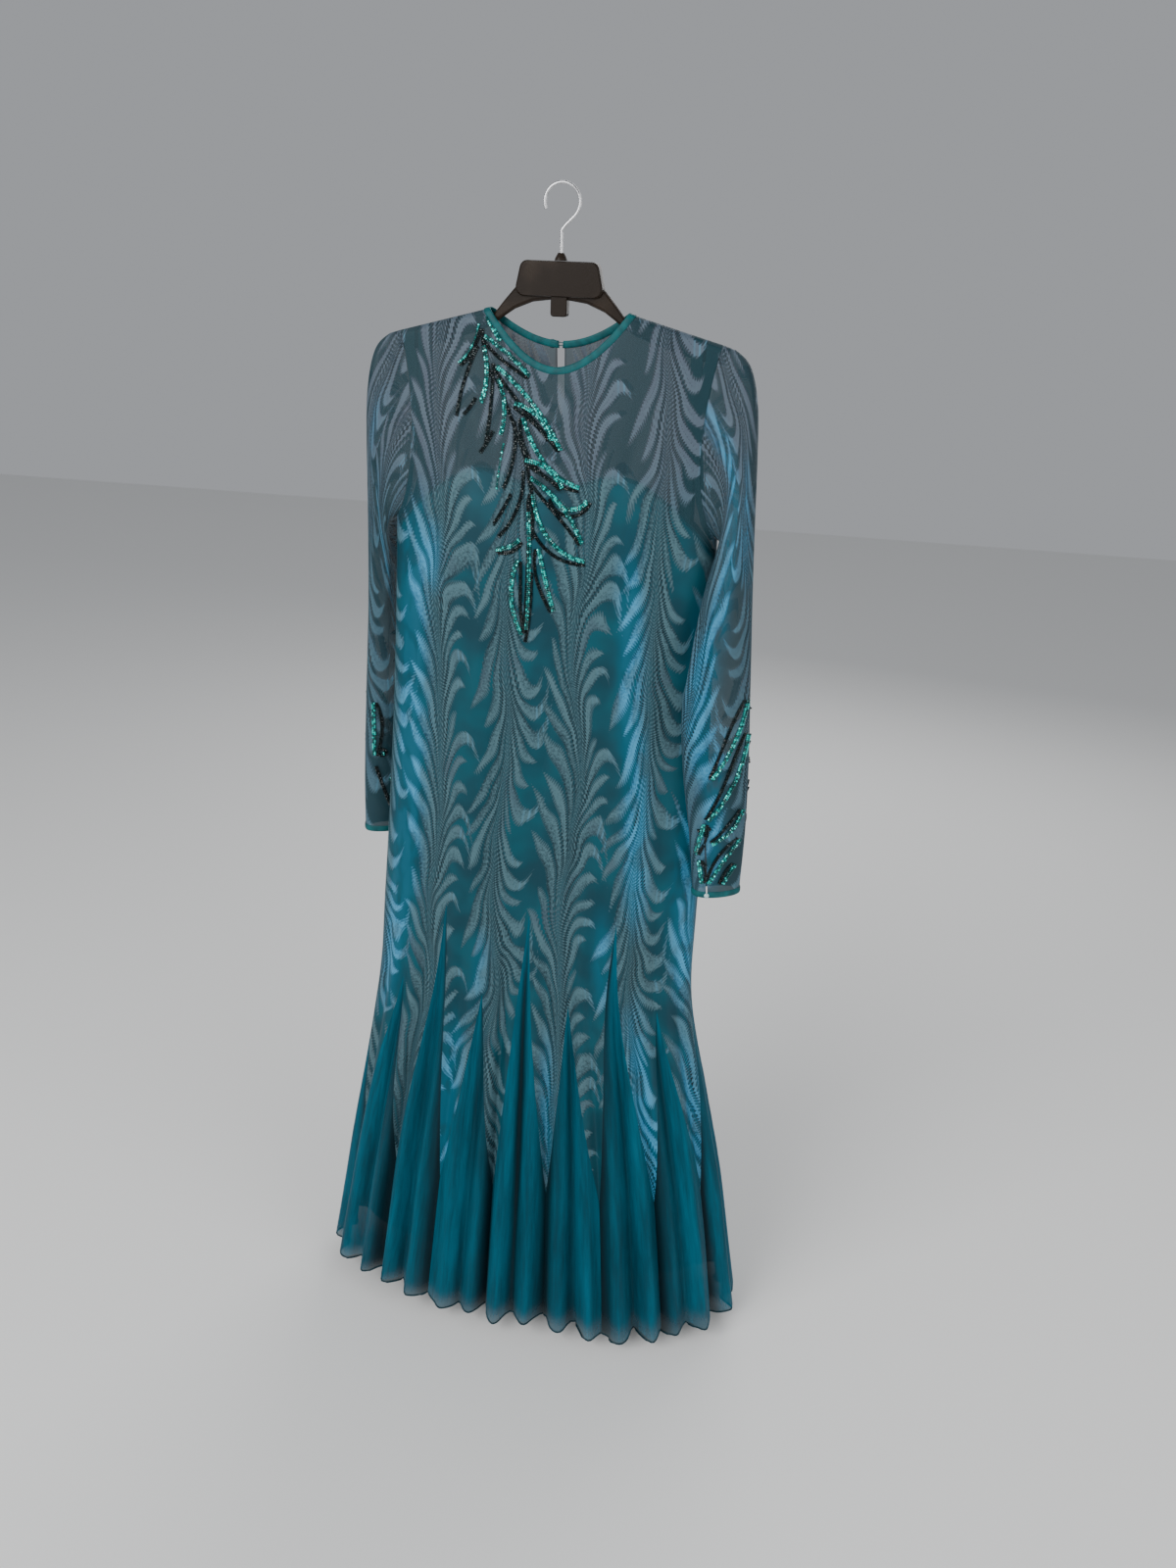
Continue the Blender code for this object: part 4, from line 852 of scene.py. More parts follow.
cloth_group = jacquard()
leaf_finishes = []
for name in ("leaf_jacquard_lined", "leaf_jacquard_sheer"):
    tint = (0.45, 0.72, 0.90)
    graph = finish(
        name, sheen_weight=0.06, sheen_roughness=0.35, sheen_tint=tint, specular_ior_level=0.22
    )
    place, slip = graph.attribute("cloth", "Vector"), graph.attribute("slip")
    cloth = graph.group(cloth_group, place=place, shine=graph.attribute("shine"), over_slip=slip)
    relief = graph.bump(cloth["Relief"], 0.0006, 0.7)
    graph.give(base_color=cloth["Colour"], roughness=cloth["Gloss"], normal=relief)
    if name == "leaf_jacquard_sheer":
        _, height, _ = graph.split(place)
        thin = graph.ease(height, -0.700, -0.560, 0.95, 0.76)
        thin = graph.math("MAXIMUM", thin, graph.ease(cloth["Solid"], 0.0, 1.0, 0.0, 0.95))
        graph.give(alpha=graph.math("MAXIMUM", thin, slip))
    leaf_finishes.append(graph.owner)

# Streaks of painted blue sheen on the panels: along them the cloth's colour turns blue, standing in for
# blue light reflected by the satin.
FRONT_SHINE = (
    (-160, -0.300, -170, -0.640, 16, 1.4),
    (-164, -0.480, -176, -0.900, 17, 1.7),
    (-176, -0.760, -190, -1.060, 16, 1.5),
    (-138, -0.345, -142, -0.450, 12, 0.8),
    (96, -0.330, 108, -0.660, 13, 1.3),
    (108, -0.540, 138, -0.880, 13, 1.4),
    (92, -0.800, 100, -0.990, 12, 0.8),
    (186, -0.600, 204, -1.000, 17, 1.6),
    (-84, -0.960, -84, -1.330, 14, 1.3),
    (138, -0.920, 138, -1.340, 15, 1.4),
    (196, -0.960, 196, -1.300, 14, 1.0),
    (30, -0.980, 30, -1.240, 10, 0.6),
    (176, -0.400, 186, -0.640, 12, 0.9),
    (-60, -0.860, -66, -1.000, 10, 0.5),
)
BACK_SHINE = (
    (160, -0.360, 176, -0.800, 15, 0.9),
    (-104, -0.360, -116, -0.660, 14, 0.9),
    (-150, -0.700, -160, -0.960, 13, 0.7),
    (70, -0.640, 84, -0.940, 13, 0.7),
    (30, -0.400, 24, -0.560, 11, 0.5),
)
for name, back, folds, shine in (
    ("front_panel", False, FRONT_CREASES, FRONT_SHINE),
    ("back_panel", True, BACK_CREASES, BACK_SHINE),
):
    made = panel(name, back, folds, shine)
    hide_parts(name)


# The long sleeves: the same sheer cloth, each a tube closed by a seam at the back of the arm and left
# open for a short way above the cuff. Both hang down flat, the wearer's right one behind the body.
ARMHOLE_ROWS = (0.0, 0.006, 0.020, 0.050, 0.120, 0.200, 0.300, 0.440, 0.600, 0.720, UNDERARM_ROW)
SLIT_START, SLIT_GAP = 8.9, 0.0008
# Columns: x and z of the outer edge and of the inner edge, how far forward each of them is, half the
# thickness, and the depth of the tuck.
LEFT_SLEEVE = (
    (0.1990, -0.1580, 0.1950, -0.3690, 0.000, 0.000, 0.0240, 0.000),
    (0.2140, -0.1760, 0.1985, -0.3820, 0.000, 0.003, 0.0240, 0.004),
    (0.2225, -0.2130, 0.1990, -0.4000, 0.000, 0.010, 0.0240, 0.011),
    (0.2265, -0.2680, 0.1950, -0.4240, 0.001, 0.020, 0.0230, 0.015),
    (0.2300, -0.3380, 0.1860, -0.4560, 0.004, 0.033, 0.0210, 0.014),
    (0.2345, -0.4250, 0.1740, -0.4980, 0.008, 0.045, 0.0185, 0.008),
    (0.2400, -0.5200, 0.1680, -0.5460, 0.011, 0.051, 0.0165, 0.003),
    (0.2460, -0.6150, 0.1740, -0.6230, 0.013, 0.050, 0.0160, 0.000),
    (0.2490, -0.7000, 0.1860, -0.7030, 0.014, 0.046, 0.0160, 0.000),
    (0.2480, -0.7775, 0.1950, -0.7775, 0.014, 0.042, 0.0160, 0.000),
)
RIGHT_SLEEVE = (
    (0.1990, -0.1580, 0.1950, -0.3690, 0.000, 0.000, 0.0240, 0.000),
    (0.2130, -0.1760, 0.1985, -0.3820, 0.000, -0.003, 0.0240, -0.003),
    (0.2200, -0.2130, 0.2005, -0.4000, 0.000, -0.007, 0.0240, -0.008),
    (0.2230, -0.2680, 0.1990, -0.4240, -0.001, -0.016, 0.0230, -0.011),
    (0.2260, -0.3380, 0.1960, -0.4560, -0.004, -0.027, 0.0210, -0.010),
    (0.2300, -0.4250, 0.1930, -0.4980, -0.007, -0.036, 0.0185, -0.006),
    (0.2350, -0.5200, 0.1900, -0.5460, -0.009, -0.041, 0.0165, 0.000),
    (0.2405, -0.6150, 0.1900, -0.6230, -0.010, -0.043, 0.0160, 0.000),
    (0.2450, -0.7000, 0.1930, -0.7030, -0.011, -0.042, 0.0160, 0.000),
    (0.2460, -0.7675, 0.1960, -0.7675, -0.011, -0.040, 0.0160, 0.000),
)
LEFT_SLEEVE_CREASES = (
    (-52, -0.235, 20, -0.300, 9, 2.2),
    (-60, -0.290, 4, -0.352, 8, -2.0),
    (30, -0.250, 78, -0.380, 9, -1.8),
    (-48, -0.370, 40, -0.420, 8, 2.2),
    (44, -0.400, -20, -0.480, 8, -2.2),
    (-36, -0.450, 30, -0.500, 7, 2.0),
    (34, -0.470, -10, -0.545, 7, -2.0),
    (-30, -0.530, 26, -0.560, 7, 2.4),
    (30, -0.545, -22, -0.600, 7, -1.8),
    (-6, -0.580, 10, -0.700, 6, 1.8),
    (-24, -0.620, -18, -0.740, 6, -1.6),
    (22, -0.660, 20, -0.768, 6, 1.4),
    (110, -0.300, 60, -0.430, 9, 1.8),
    (-110, -0.300, -70, -0.440, 9, 1.6),
)
RIGHT_SLEEVE_CREASES = (
    (-50, -0.240, 10, -0.320, 9, 2.0),
    (40, -0.260, 84, -0.390, 9, -1.8),
    (-44, -0.350, 34, -0.430, 8, -2.0),
    (40, -0.420, -24, -0.490, 8, 2.2),
    (-34, -0.480, 22, -0.545, 7, -1.8),
    (26, -0.530, -18, -0.600, 7, 2.0),
    (-4, -0.590, 6, -0.690, 6, -1.6),
    (16, -0.640, 18, -0.750, 6, 1.6),
    (-20, -0.650, -18, -0.750, 6, 1.4),
    (104, -0.310, 60, -0.440, 9, 1.8),
    (-104, -0.300, -66, -0.430, 9, -1.6),
)


def armhole_points(turn, side):
    """The armhole's edge, turn 0 at the shoulder tip, 10 at the underarm and 20 at the tip again."""
    down = np.interp(np.where(turn <= 10, turn, 20 - turn), np.arange(11), ARMHOLE_ROWS)
    fore, rear = (yoke_points(np.full_like(down, 3.99999), down, back) for back in (False, True))
    edge = np.where((turn <= 10)[:, None], fore, rear)
    edge[:, 0] = (edge[:, 0] + 0.0003) * side
    return edge


def rounded(values, power):
    """A power of the size of values, with their sign."""
    return np.abs(values) ** power * np.sign(values)


def sleeve_grid(table, side, slit_turn):
    """A grid of points of the sleeve from the armhole to the cuff, starting and ending at its slit."""
    number = np.concatenate([np.linspace(0, 1, 7)[:-1], np.linspace(1, 10, 120)])
    turn = (slit_turn + np.linspace(0.0, 20.0, 81)) % 20.0
    rows = smooth_rows(range(len(table)), table, np.maximum(number, 1.0) - 1.0)
    outer_x, outer_z, inner_x, inner_z, outer_fore, inner_fore, thick, tuck = rows.T
    outer = stacked(outer_x * side, -outer_fore, outer_z)
    inner = stacked(inner_x * side, -inner_fore, inner_z)
    middle, reach = (outer + inner) / 2, (outer - inner) / 2
    fore = unit(np.array([0.0, -1.0, 0.0]) + reach * (reach[:, 1] / (reach**2).sum(1))[:, None])
    across, forward = np.cos(turn * math.pi / 10), np.sin(turn * math.pi / 10)
    flat = rounded(forward, 0.8)[None, :, None]
    ring = middle[:, None] + reach[:, None] * across[None, :, None]
    ring = ring + (fore * thick[:, None])[:, None] * flat
    tuck = tuck[:, None]
    tucked = (across < 0) & (forward * tuck > 0)
    ring[..., 0] -= np.where(tucked, np.abs(tuck * 2 * across * forward) * side, 0.0)
    keep = np.interp(number, range(5), (1.0, 0.60, 0.25, 0.05, 0.0))[:, None, None]
    edge = armhole_points(turn, side) + number[:, None, None] * np.array([0.010 * side, 0.0, -0.003])
    grid = edge * keep + ring * (1 - keep)
    opened = part_of(number - SLIT_START, 0.15)[:, None]
    aside = unit(grid[:, 1] - grid[:, 0]) * SLIT_GAP * opened
    grid[:, 0] += aside
    grid[:, -1] -= aside
    return grid, number, turn


def sleeve_place(grid, turn):
    """Places on the sleeve's cloth: round from the middle of its front, and down."""
    run = run_along(grid.swapaxes(0, 1)).T
    middle = int(np.argmin(np.abs(turn - 5.0)))
    round_, whole = run - run[:, middle : middle + 1], run[:, -1:]
    round_ = round_ - whole * np.sign(round_) * (np.abs(round_) > whole / 2)
    return stacked(round_, grid[..., 2], 0.0)


# Streaks of painted blue sheen on the sleeves, as on the panels.
LEFT_SHINE = (
    (22, -0.180, -2, -0.440, 15, 1.5),
    (-6, -0.320, 24, -0.560, 15, 1.5),
    (30, -0.440, 22, -0.660, 14, 1.4),
    (4, -0.540, 14, -0.800, 12, 1.2),
    (-44, -0.240, -34, -0.420, 14, 0.7),
    (80, -0.420, 70, -0.700, 12, 0.7),
)
RIGHT_SHINE = (
    (20, -0.280, 26, -0.480, 12, 0.5),
    (-30, -0.200, -20, -0.330, 14, 0.4),
    (-80, -0.400, -70, -0.700, 12, 0.8),
)
cuff_rings = {}
for name, side, slit_turn, table, folds, shine in (
    ("sleeve_left", 1.0, 7, LEFT_SLEEVE, LEFT_SLEEVE_CREASES, LEFT_SHINE),
    ("sleeve_right", -1.0, 13, RIGHT_SLEEVE, RIGHT_SLEEVE_CREASES, RIGHT_SHINE),
):
    grid, number, turn = sleeve_grid(table, side, slit_turn)
    place = sleeve_place(grid, turn)
    calm = part_of(number, 2.0) * part_of(10.0 - number, 0.4)
    heights = creases(place, folds) * calm[:, None]
    heights[:, 0] = heights[:, -1] = 0.0
    sheet = pushed(grid, heights * side)
    fields = {"cloth": [place], "shine": [glow(place, shine)]}
    made = cloth_object(f"{name}_cloth", [sheet], leaf_finishes[1], flip=side > 0, **fields)
    cuff_rings[name] = grid[-1]
    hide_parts(name)


# The godets: sixteen plain chiffon wedges let in between the points of the panels, tall and short by
# turns, each with two broad flutes and a hem rolled narrow by hand.
HEM_ROLL_RADIUS, HEM_DIP, GODET_PER_S = 0.0011, 0.0090, 0.06


def crinkled_chiffon():
    """Thin chiffon: fine crinkles that run down the cloth, and open threads."""
    graph, entry = shader_group("crinkled_chiffon", "Place", "Crinkle, Shade")
    wander = graph.noise(entry["Place"], (30.0, 9.0, 1.0), 1.0) * 0.004
    bent = graph.vector("ADD", entry["Place"], graph.node("CombineXYZ", [wander], 0))
    fine = graph.noise(bent, (620.0, 22.0, 1.0), 3.0, 0.65)
    broad = graph.noise(bent, (95.0, 5.0, 1.0))
    return graph.give(crinkle=broad * 0.9 + fine, shade=broad * 0.6 + fine * 0.4)


graph = finish("teal_chiffon", sheen_weight=0.10, sheen_roughness=0.35, sheen_tint=(0.30, 0.75, 0.95))
graph.give(specular_ior_level=0.15, roughness=0.62)
place, on_hem = graph.attribute("cloth", "Vector"), graph.attribute("hem")
crinkles = graph.group(crinkled_chiffon(), place=place)
shade = graph.ease(crinkles["Shade"], 0.30, 0.70)
teal = graph.mix(shade, (0.0003, 0.040, 0.063), (0.0010, 0.094, 0.145))
# Painted shade: the colour darkens toward near-black teal in the valleys between the flutes.
teal = graph.mix(graph.attribute("deep"), teal, (0.0002, 0.012, 0.018))
_, height, _ = graph.split(place)
thin = graph.ease(height, -1.428, -1.402, 0.80, 0.97) + (crinkles["Shade"] * 0.10 + -0.05)
chiffon = graph.give(
    base_color=graph.mix(graph.ease(on_hem, 0.2, 0.9), teal, (0.0005, 0.026, 0.038)),
    normal=graph.bump(crinkles["Crinkle"], 0.0007, 0.55),
    alpha=graph.math("MAXIMUM", thin, on_hem).held(),
)


def godet_points(line):
    """A godet as a grid of points from its tip down to the hem, and each point's s."""
    z = np.linspace(godet_top(line), HEM_Z, 76)[:, None]
    half = godet_half_width(line, z)
    s = line + half * np.linspace(-1.0, 1.0, 25)[None, :]
    low = np.maximum(0.0, (LACE_TIP_Z - z) / (LACE_TIP_Z - HEM_Z))
    wave = 0.0035 * np.sin(2.3 * s + 0.7) + 0.0022 * np.sin(6.1 * s + line)
    heights = z - HEM_DIP * low * np.sin(math.pi * wrapped(s) / 8.0) + wave * low**2
    ripple = 0.0016 * np.sin(11.0 * s + 9.0 * z) * np.minimum(low, 1.0)
    ripple = ripple + 0.0007 * np.sin(29.0 * s - 5.0 * z + line)
    off_seam = part_of(half - np.abs(s - line), 0.06)
    return pushed(tube_points(s, heights), -ripple * off_seam), s


for line in FLUTES:
    sheet, s = godet_points(line)
    low = sheet[-1]
    down = unit(low - sheet[-2])
    inward = unit(np.cross(down, np.gradient(low, axis=0)))
    inward *= -np.sign((inward[:, :2] * low[:, :2]).sum(1))[:, None]
    angle = np.radians(np.arange(40, 321, 40))[:, None, None]
    rolled = low + (inward * (1 - np.cos(angle)) + down * np.sin(angle)) * HEM_ROLL_RADIUS
    whole = np.concatenate([sheet, rolled])
    hem = 0.0 * whole[..., 0]
    hem[len(sheet) - 1 :] = 1.0
    length = np.concatenate([s, np.repeat(s[-1:], len(rolled), 0)]) * GODET_PER_S
    # How deep each point lies in the valleys between the flutes, which darkens the chiffon's colour there
    # as painted shade.
    reach = np.hypot(whole[..., 0], whole[..., 1])
    shallow = reach.mean(1, keepdims=True) - reach
    deep = part_of(shallow, np.maximum(1.6 * reach.std(1, keepdims=True), 0.002)) ** 1.2
    fields = {"cloth": [stacked(length, whole[..., 2], 0.0)], "hem": [hem], "deep": [deep]}
    name = f"godet_{(line + 7) % 16 + 1:02d}"
    made = cloth_object(f"{name}_cloth", [whole], chiffon, **fields)
    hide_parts(name)


# The bindings: a bias strip folded over the neck edge from one side of the back slit to the other,
# and one round each cuff. They are soft flat rolls, a little puckered by their stitching.
BINDING_WIDTH, BINDING_THICK = 0.0080, 0.0022
NECK_EXTRA, CUFF_EXTRA = 0.0004, 0.0002
RIB_PITCH, DASH_PITCH, PUCKER_RUN, PUCKER_DEPTH = 0.0011, 0.0034, 0.0031, 0.10


def bias_satin():
    """Bias-cut satin: slanting ribs, and a row of small stitches near one edge."""
    graph, entry = shader_group("bias_satin", "Place", "Ribs, Stitch")
    along, across, _ = graph.split(entry["Place"])
    ribs = graph.sine((along + across) * (math.tau / RIB_PITCH)) * 0.5 + 0.5
    dash = graph.ease(graph.sine(along * (math.tau / DASH_PITCH)), -0.2, 0.4)
    near_line = (1.0 - abs(across + 0.0026) / 0.0004).held()
    return graph.give(ribs=ribs, stitch=dash * near_line)


graph = finish("teal_binding", sheen_weight=0.05, sheen_roughness=0.3, specular_ior_level=0.20)
place = graph.attribute("cloth", "Vector")
satin = graph.group(bias_satin(), place=place)
uneven = graph.noise(place, (90.0, 60.0, 1.0))
teal = graph.mix(graph.ease(uneven, 0.3, 0.7), (0.0010, 0.058, 0.066), (0.0020, 0.100, 0.108))
binding_finish = graph.give(
    base_color=graph.mix(satin["Stitch"], teal, (0.001, 0.045, 0.055)),
    roughness=graph.ease(uneven, 0.3, 0.7, 0.44, 0.58),
    normal=graph.bump(satin["Ribs"] * 0.25 - satin["Stitch"], 0.0003, 0.6),
)


def tube_object(name, rings, its_finish, merge=0.0, **fields):
    """A closed tube from its rings of points (rings, sides, 3), with a fan over each end."""
    rows, sides = rings.shape[:2]
    n = np.arange(sides)
    start, after = np.arange(rows - 1)[:, None] * sides, (n + 1) % sides
    corners = np.broadcast_arrays(start + n, start + after, start + after + sides, start + n + sides)
    faces = np.stack(corners, axis=-1).reshape(-1, 4).tolist()
    top, foot, last = rows * sides, rows * sides + 1, (rows - 1) * sides
    for n in range(sides):
        after = (n + 1) % sides
        faces += [(top, after, n), (foot, last + n, last + after)]

    def ended(values):
        return np.concatenate([values.reshape(-1, 3), values[:1].mean(1), values[-1:].mean(1)])

    fields = {title: ended(values) for title, values in fields.items()}
    return mesh_object(name, ended(rings), faces, its_finish, merge=merge, outward=True, **fields)


def roll_object(name, edge, outward, across, thick):
    """A flattened roll along an edge, its middle half its width across from it."""
    length = run_along(edge)
    angle = np.linspace(0.0, math.tau, 14, endpoint=False)
    wide = rounded(np.cos(angle), 0.7) * BINDING_WIDTH / 2
    deep = rounded(np.sin(angle), 0.8) * thick / 2
    pucker = 1 + PUCKER_DEPTH * np.sin(length / PUCKER_RUN)[:, None] * np.abs(np.sin(angle))
    rings = (edge + across * BINDING_WIDTH / 2)[:, None] + across[:, None] * wide[:, None]
    rings = rings + outward[:, None] * (deep * pucker)[..., None]
    return tube_object(name, rings, binding_finish, cloth=stacked(length[:, None], wide, 0.0))


def neck_edge():
    """The neckline from one side of the back slit round the front to the other, with its outward
    direction and the direction across the binding."""
    turn = np.linspace(0.0, NECK_S, 70)
    edges, ups = [], []
    for back, turns in ((True, turn), (False, turn[::-1][1:])):
        edges.append(yoke_points(turns, 0.0 * turns, back))
        ups.append(unit(edges[-1] - yoke_points(turns, np.full_like(turns, 0.012), back)))
    edge, up = np.concatenate(edges), np.concatenate(ups)
    edge[0, 0] = slit_half_width(0.0)
    mirror = np.array([-1.0, 1.0, 1.0])
    edge, up = (np.concatenate([half[:-1] * mirror, half[::-1]]) for half in (edge, up))
    along = unit(np.gradient(edge, axis=0))
    inward = stacked(-np.sign(edge[:, 0]), 0.0, 0.25)
    for side in (edge[:, 0] < 0, edge[:, 0] > 0):
        peak = edge[np.argmax(np.where(side, edge[:, 2], -9.0))]
        lay_down = np.exp(-((np.linalg.norm(edge - peak, axis=1) / 0.024) ** 2))[:, None]
        up = unit(up * (1 - lay_down) + inward * lay_down)
    up = unit(up - along * (up * along).sum(1, keepdims=True))
    return edge, unit(np.cross(along, up)), up


edge, outward, up = neck_edge()
made = roll_object("neck_binding_roll", edge, outward, up, BINDING_THICK + NECK_EXTRA)
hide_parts("neck_binding")
for name, ring in cuff_rings.items():
    down = stacked(0.0 * ring[:, 0], 0.0, -1.0)
    outward = unit(np.cross(unit(np.gradient(ring, axis=0)), down))
    end = name.replace("sleeve", "cuff_binding")
    made = roll_object(f"{end}_roll", ring, outward, down, BINDING_THICK + CUFF_EXTRA)
    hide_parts(end)


# What shows through the sheer yoke: the slip's two ribbon straps, each over an arm of the hanger, and
# the teal seam allowances turned inward round both armholes.
STRAP_X, STRAP_WIDTH, STRAP_INSIDE = 0.1530, 0.0120, 0.0024
STRAP_DROPS, STRAP_GAPS = (0.012, 0.028, 0.060, 0.110), (0.0016, 0.0022, 0.0030, 0.0040)


def strap_grid(side):
    """A ribbon from inside the slip's front top edge, over the hanger's arm, to inside its back."""
    x = np.linspace(STRAP_X - STRAP_WIDTH / 2, STRAP_X + STRAP_WIDTH / 2, 7)[None, :]
    halves = []
    for back, facing in ((False, -1.0), (True, 1.0)):
        z_low = lining_top(x, back) - np.linspace(0.012, -0.004, 5)[:, None]
        y_low = lining_depth(x, z_low, back) - STRAP_INSIDE
        drop = np.linspace(0.145, 0.010, 34)[:, None] + 0.0 * x
        z_up = shoulder_z(x) - drop
        y_up = yoke_depth(x, z_up, back) - np.interp(drop, STRAP_DROPS, STRAP_GAPS)
        keep = (z_up > lining_top(x, back).max() + 0.010).all(axis=1)
        angle = np.radians(np.linspace(75, 5 if back else 0, 9))[:, None] + 0.0 * x
        radius = ROOF_RADIUS - 0.0015
        y_arm, z_arm = np.sin(angle) * radius, shoulder_z(x) - ROOF_RADIUS + np.cos(angle) * radius
        y, z = np.concatenate([y_low, y_up[keep], y_arm]), np.concatenate([z_low, z_up[keep], z_arm])
        halves.append(stacked(x * side, y * facing, z))
    return np.concatenate([halves[0], halves[1][::-1]])


for name, side in (("lining_strap_left", 1.0), ("lining_strap_right", -1.0)):
    grid = strap_grid(side)
    run = run_along(grid).mean(1)
    place = stacked(grid[..., 0], run[:, None], 0.0)
    made = cloth_object(f"{name}_ribbon", [grid], lining_finish, flip=side > 0, cloth=[place])
    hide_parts(name)

for name, side in (("armhole_seam_left", 1.0), ("armhole_seam_right", -1.0)):
    rows = np.linspace(0.012, UNDERARM_ROW - 0.004, 70)[:, None]
    turn = 3.9990 - (0.30 + 0.020 * np.sin(rows * 60.0)) * np.linspace(0.0, 1.0, 5)
    halves = []
    for back in (False, True):
        grid = yoke_points(turn, rows + 0.0 * turn, back)
        grid[..., 1] *= 1 - 0.0011 / np.maximum(np.abs(grid[..., 1]), 0.0022)
        grid[..., 0] = (grid[..., 0] - 0.0004) * side
        halves.append(grid)
    places = [stacked(grid[..., 0], grid[..., 2], 0.0) for grid in halves]
    halves[1] = halves[1][:, ::-1]
    made = cloth_object(name, halves, lining_finish, flip=side > 0, cloth=places)


# The hanger's wire hook and the thread loop at the back of the neck: both are bent round wires, the
# loop twisted and passed round the pearl button.
def wire_object(name, path, radius, sides, its_finish, twist=0.0):
    """A round wire along a path, closed at both ends, with a soft twist of strands if asked for."""
    along, length = unit(np.gradient(path, axis=0)), run_along(path)
    angle = np.linspace(0.0, math.tau, sides, endpoint=False)
    across = unit(np.cross(along[0], np.array([0.31, 0.87, 0.12])))
    rings = []
    for point, ahead, run in zip(path, along, length):
        across = unit(across - ahead * (across @ ahead))
        wide = radius * (1 + twist * np.cos(2 * (angle - run / (radius * 1.6))))[:, None]
        circle = across * np.cos(angle)[:, None] + np.cross(ahead, across) * np.sin(angle)[:, None]
        rings.append(point + circle * wide)
    made = tube_object(name, np.array(rings), its_finish)
    made.data.set_sharp_from_angle(angle=math.radians(50))
    return made


def smooth_path(points, steps):
    """A path through the points on a Catmull-Rom curve."""
    return smooth_rows(range(len(points)), points, np.linspace(0, len(points) - 1, steps))


graph = finish("hook_steel", metallic=1.0)
drawn = graph.noise(graph.object_place(), 420.0)
steel = graph.give(
    base_color=graph.mix(drawn, (0.50, 0.50, 0.51), (0.62, 0.62, 0.63)),
    roughness=graph.ease(drawn, 0.2, 0.8, 0.20, 0.32),
)
HOOK_RADIUS, WIRE_RADIUS = 0.0190, 0.00175
centre_z = WIRE_RADIUS - HOOK_RADIUS
stem_top = centre_z - HOOK_RADIUS - 0.0090
angle = np.radians(np.linspace(-48, 202, 90))
bend = stacked(HOOK_RADIUS * np.cos(angle), 0.0, centre_z + HOOK_RADIUS * np.sin(angle))
stem = [(0.0, 0.0, stem_top - 0.004), (0.0, 0.0, stem_top), (0.0040, 0.0, stem_top + 0.0055), bend[0]]
foot = [(0.0, 0.0, -0.0747), (0.0, 0.0, -0.066)]
path = np.concatenate([foot, smooth_path(stem, 26)[:-1], bend])
made = wire_object("hook_wire", path, WIRE_RADIUS, 18, steel)
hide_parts("hook")

graph = finish("loop_thread", sheen_weight=0.4, roughness=0.55)
strand = graph.noise(graph.object_place(), (1500.0, 300.0, 1500.0))
thread = graph.give(
    base_color=graph.mix(strand, (0.001, 0.055, 0.065), (0.004, 0.115, 0.130)),
    normal=graph.bump(strand, 0.0001, 0.5),
)
LOOP_SIDE = ((0.0075, 0.0012), (0.0010, 0.0015), (-0.0042, 0.0021))
LOOP_CENTRE_X, LOOP_RADIUS, THREAD_RADIUS = -0.0100, 0.0044, 0.0005
loop_z = NECK_BACK_Z + BINDING_WIDTH * 0.55
loop_y = float(yoke_depth(0.0, NECK_BACK_Z, True)) + BINDING_THICK / 2 + 0.0009
angle = np.radians(np.linspace(-120, 120, 21))
circle = zip(LOOP_CENTRE_X - LOOP_RADIUS * np.cos(angle), LOOP_RADIUS * np.sin(angle))
path = [(x, -out) for x, out in LOOP_SIDE] + list(circle) + list(reversed(LOOP_SIDE))
path = smooth_path([(x, loop_y, loop_z + out) for x, out in path], 150)
made = wire_object("neck_loop_thread", path, THREAD_RADIUS, 10, thread, twist=0.16)
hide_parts("neck_loop")


# The three buttons: small domed pearl shanks, one behind the neck and one beside each cuff's slit.
graph = finish("button_pearl", coat_weight=0.6, coat_roughness=0.08, specular_ior_level=0.6)
layers = graph.noise(graph.object_place(), 260.0)
# Painted sheen: the colour is pale where the button faces the camera and deeper blue-green where it turns
# away.
tint = graph.mix(graph.node("LayerWeight", (), "Facing"), (0.34, 0.55, 0.55), (0.16, 0.34, 0.42))
pearl = graph.give(
    base_color=graph.mix(layers * 0.4, tint, (0.55, 0.68, 0.66)),
    roughness=graph.ease(layers, 0.3, 0.7, 0.14, 0.24),
)
NECK_BUTTON_RADIUS, CUFF_BUTTON_RADIUS = 0.0036, 0.0032
BUTTON_PROFILE = (
    *((0.0005, 0.0), (0.86, 0.0), (0.97, 0.10), (1.0, 0.22), (0.96, 0.33), (0.88, 0.40)),
    *((0.84, 0.43), (0.76, 0.55), (0.60, 0.66), (0.40, 0.745), (0.18, 0.79), (0.0005, 0.80)),
)


def button_object(name, outward, radius):
    """A domed button with a rolled rim, set on the foot of its solid and facing outward."""
    corners = np.array([tuple(vertex.co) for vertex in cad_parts[name].data.vertices])
    outward = np.array(outward) / np.linalg.norm(outward)
    heights = corners @ outward
    base = corners.mean(0) + outward * (heights.min() - heights.mean())
    side = unit(np.cross(outward, np.array([0.0, 0.0, 1.0])))
    angle = np.linspace(0.0, math.tau, 28, endpoint=False)[:, None]
    circle = side * np.cos(angle) + np.cross(side, outward) * np.sin(angle)
    rings = [base + (circle * reach + outward * lift) * radius for reach, lift in BUTTON_PROFILE]
    made = tube_object(f"{name}_dome", np.array(rings), pearl, merge=5e-6)
    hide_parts(name)


button_object("neck_button", (0.0, 1.0, 0.0), NECK_BUTTON_RADIUS)
for name, ring in cuff_rings.items():
    along = unit((ring[1] - ring[0]) + (ring[-1] - ring[-2]))
    outward = np.cross(along, np.array([0.0, 0.0, -1.0]))
    outward *= np.sign(outward @ (ring[0] - ring.mean(0)))
    button_object(name.replace("sleeve", "cuff_button"), outward, CUFF_BUTTON_RADIUS)


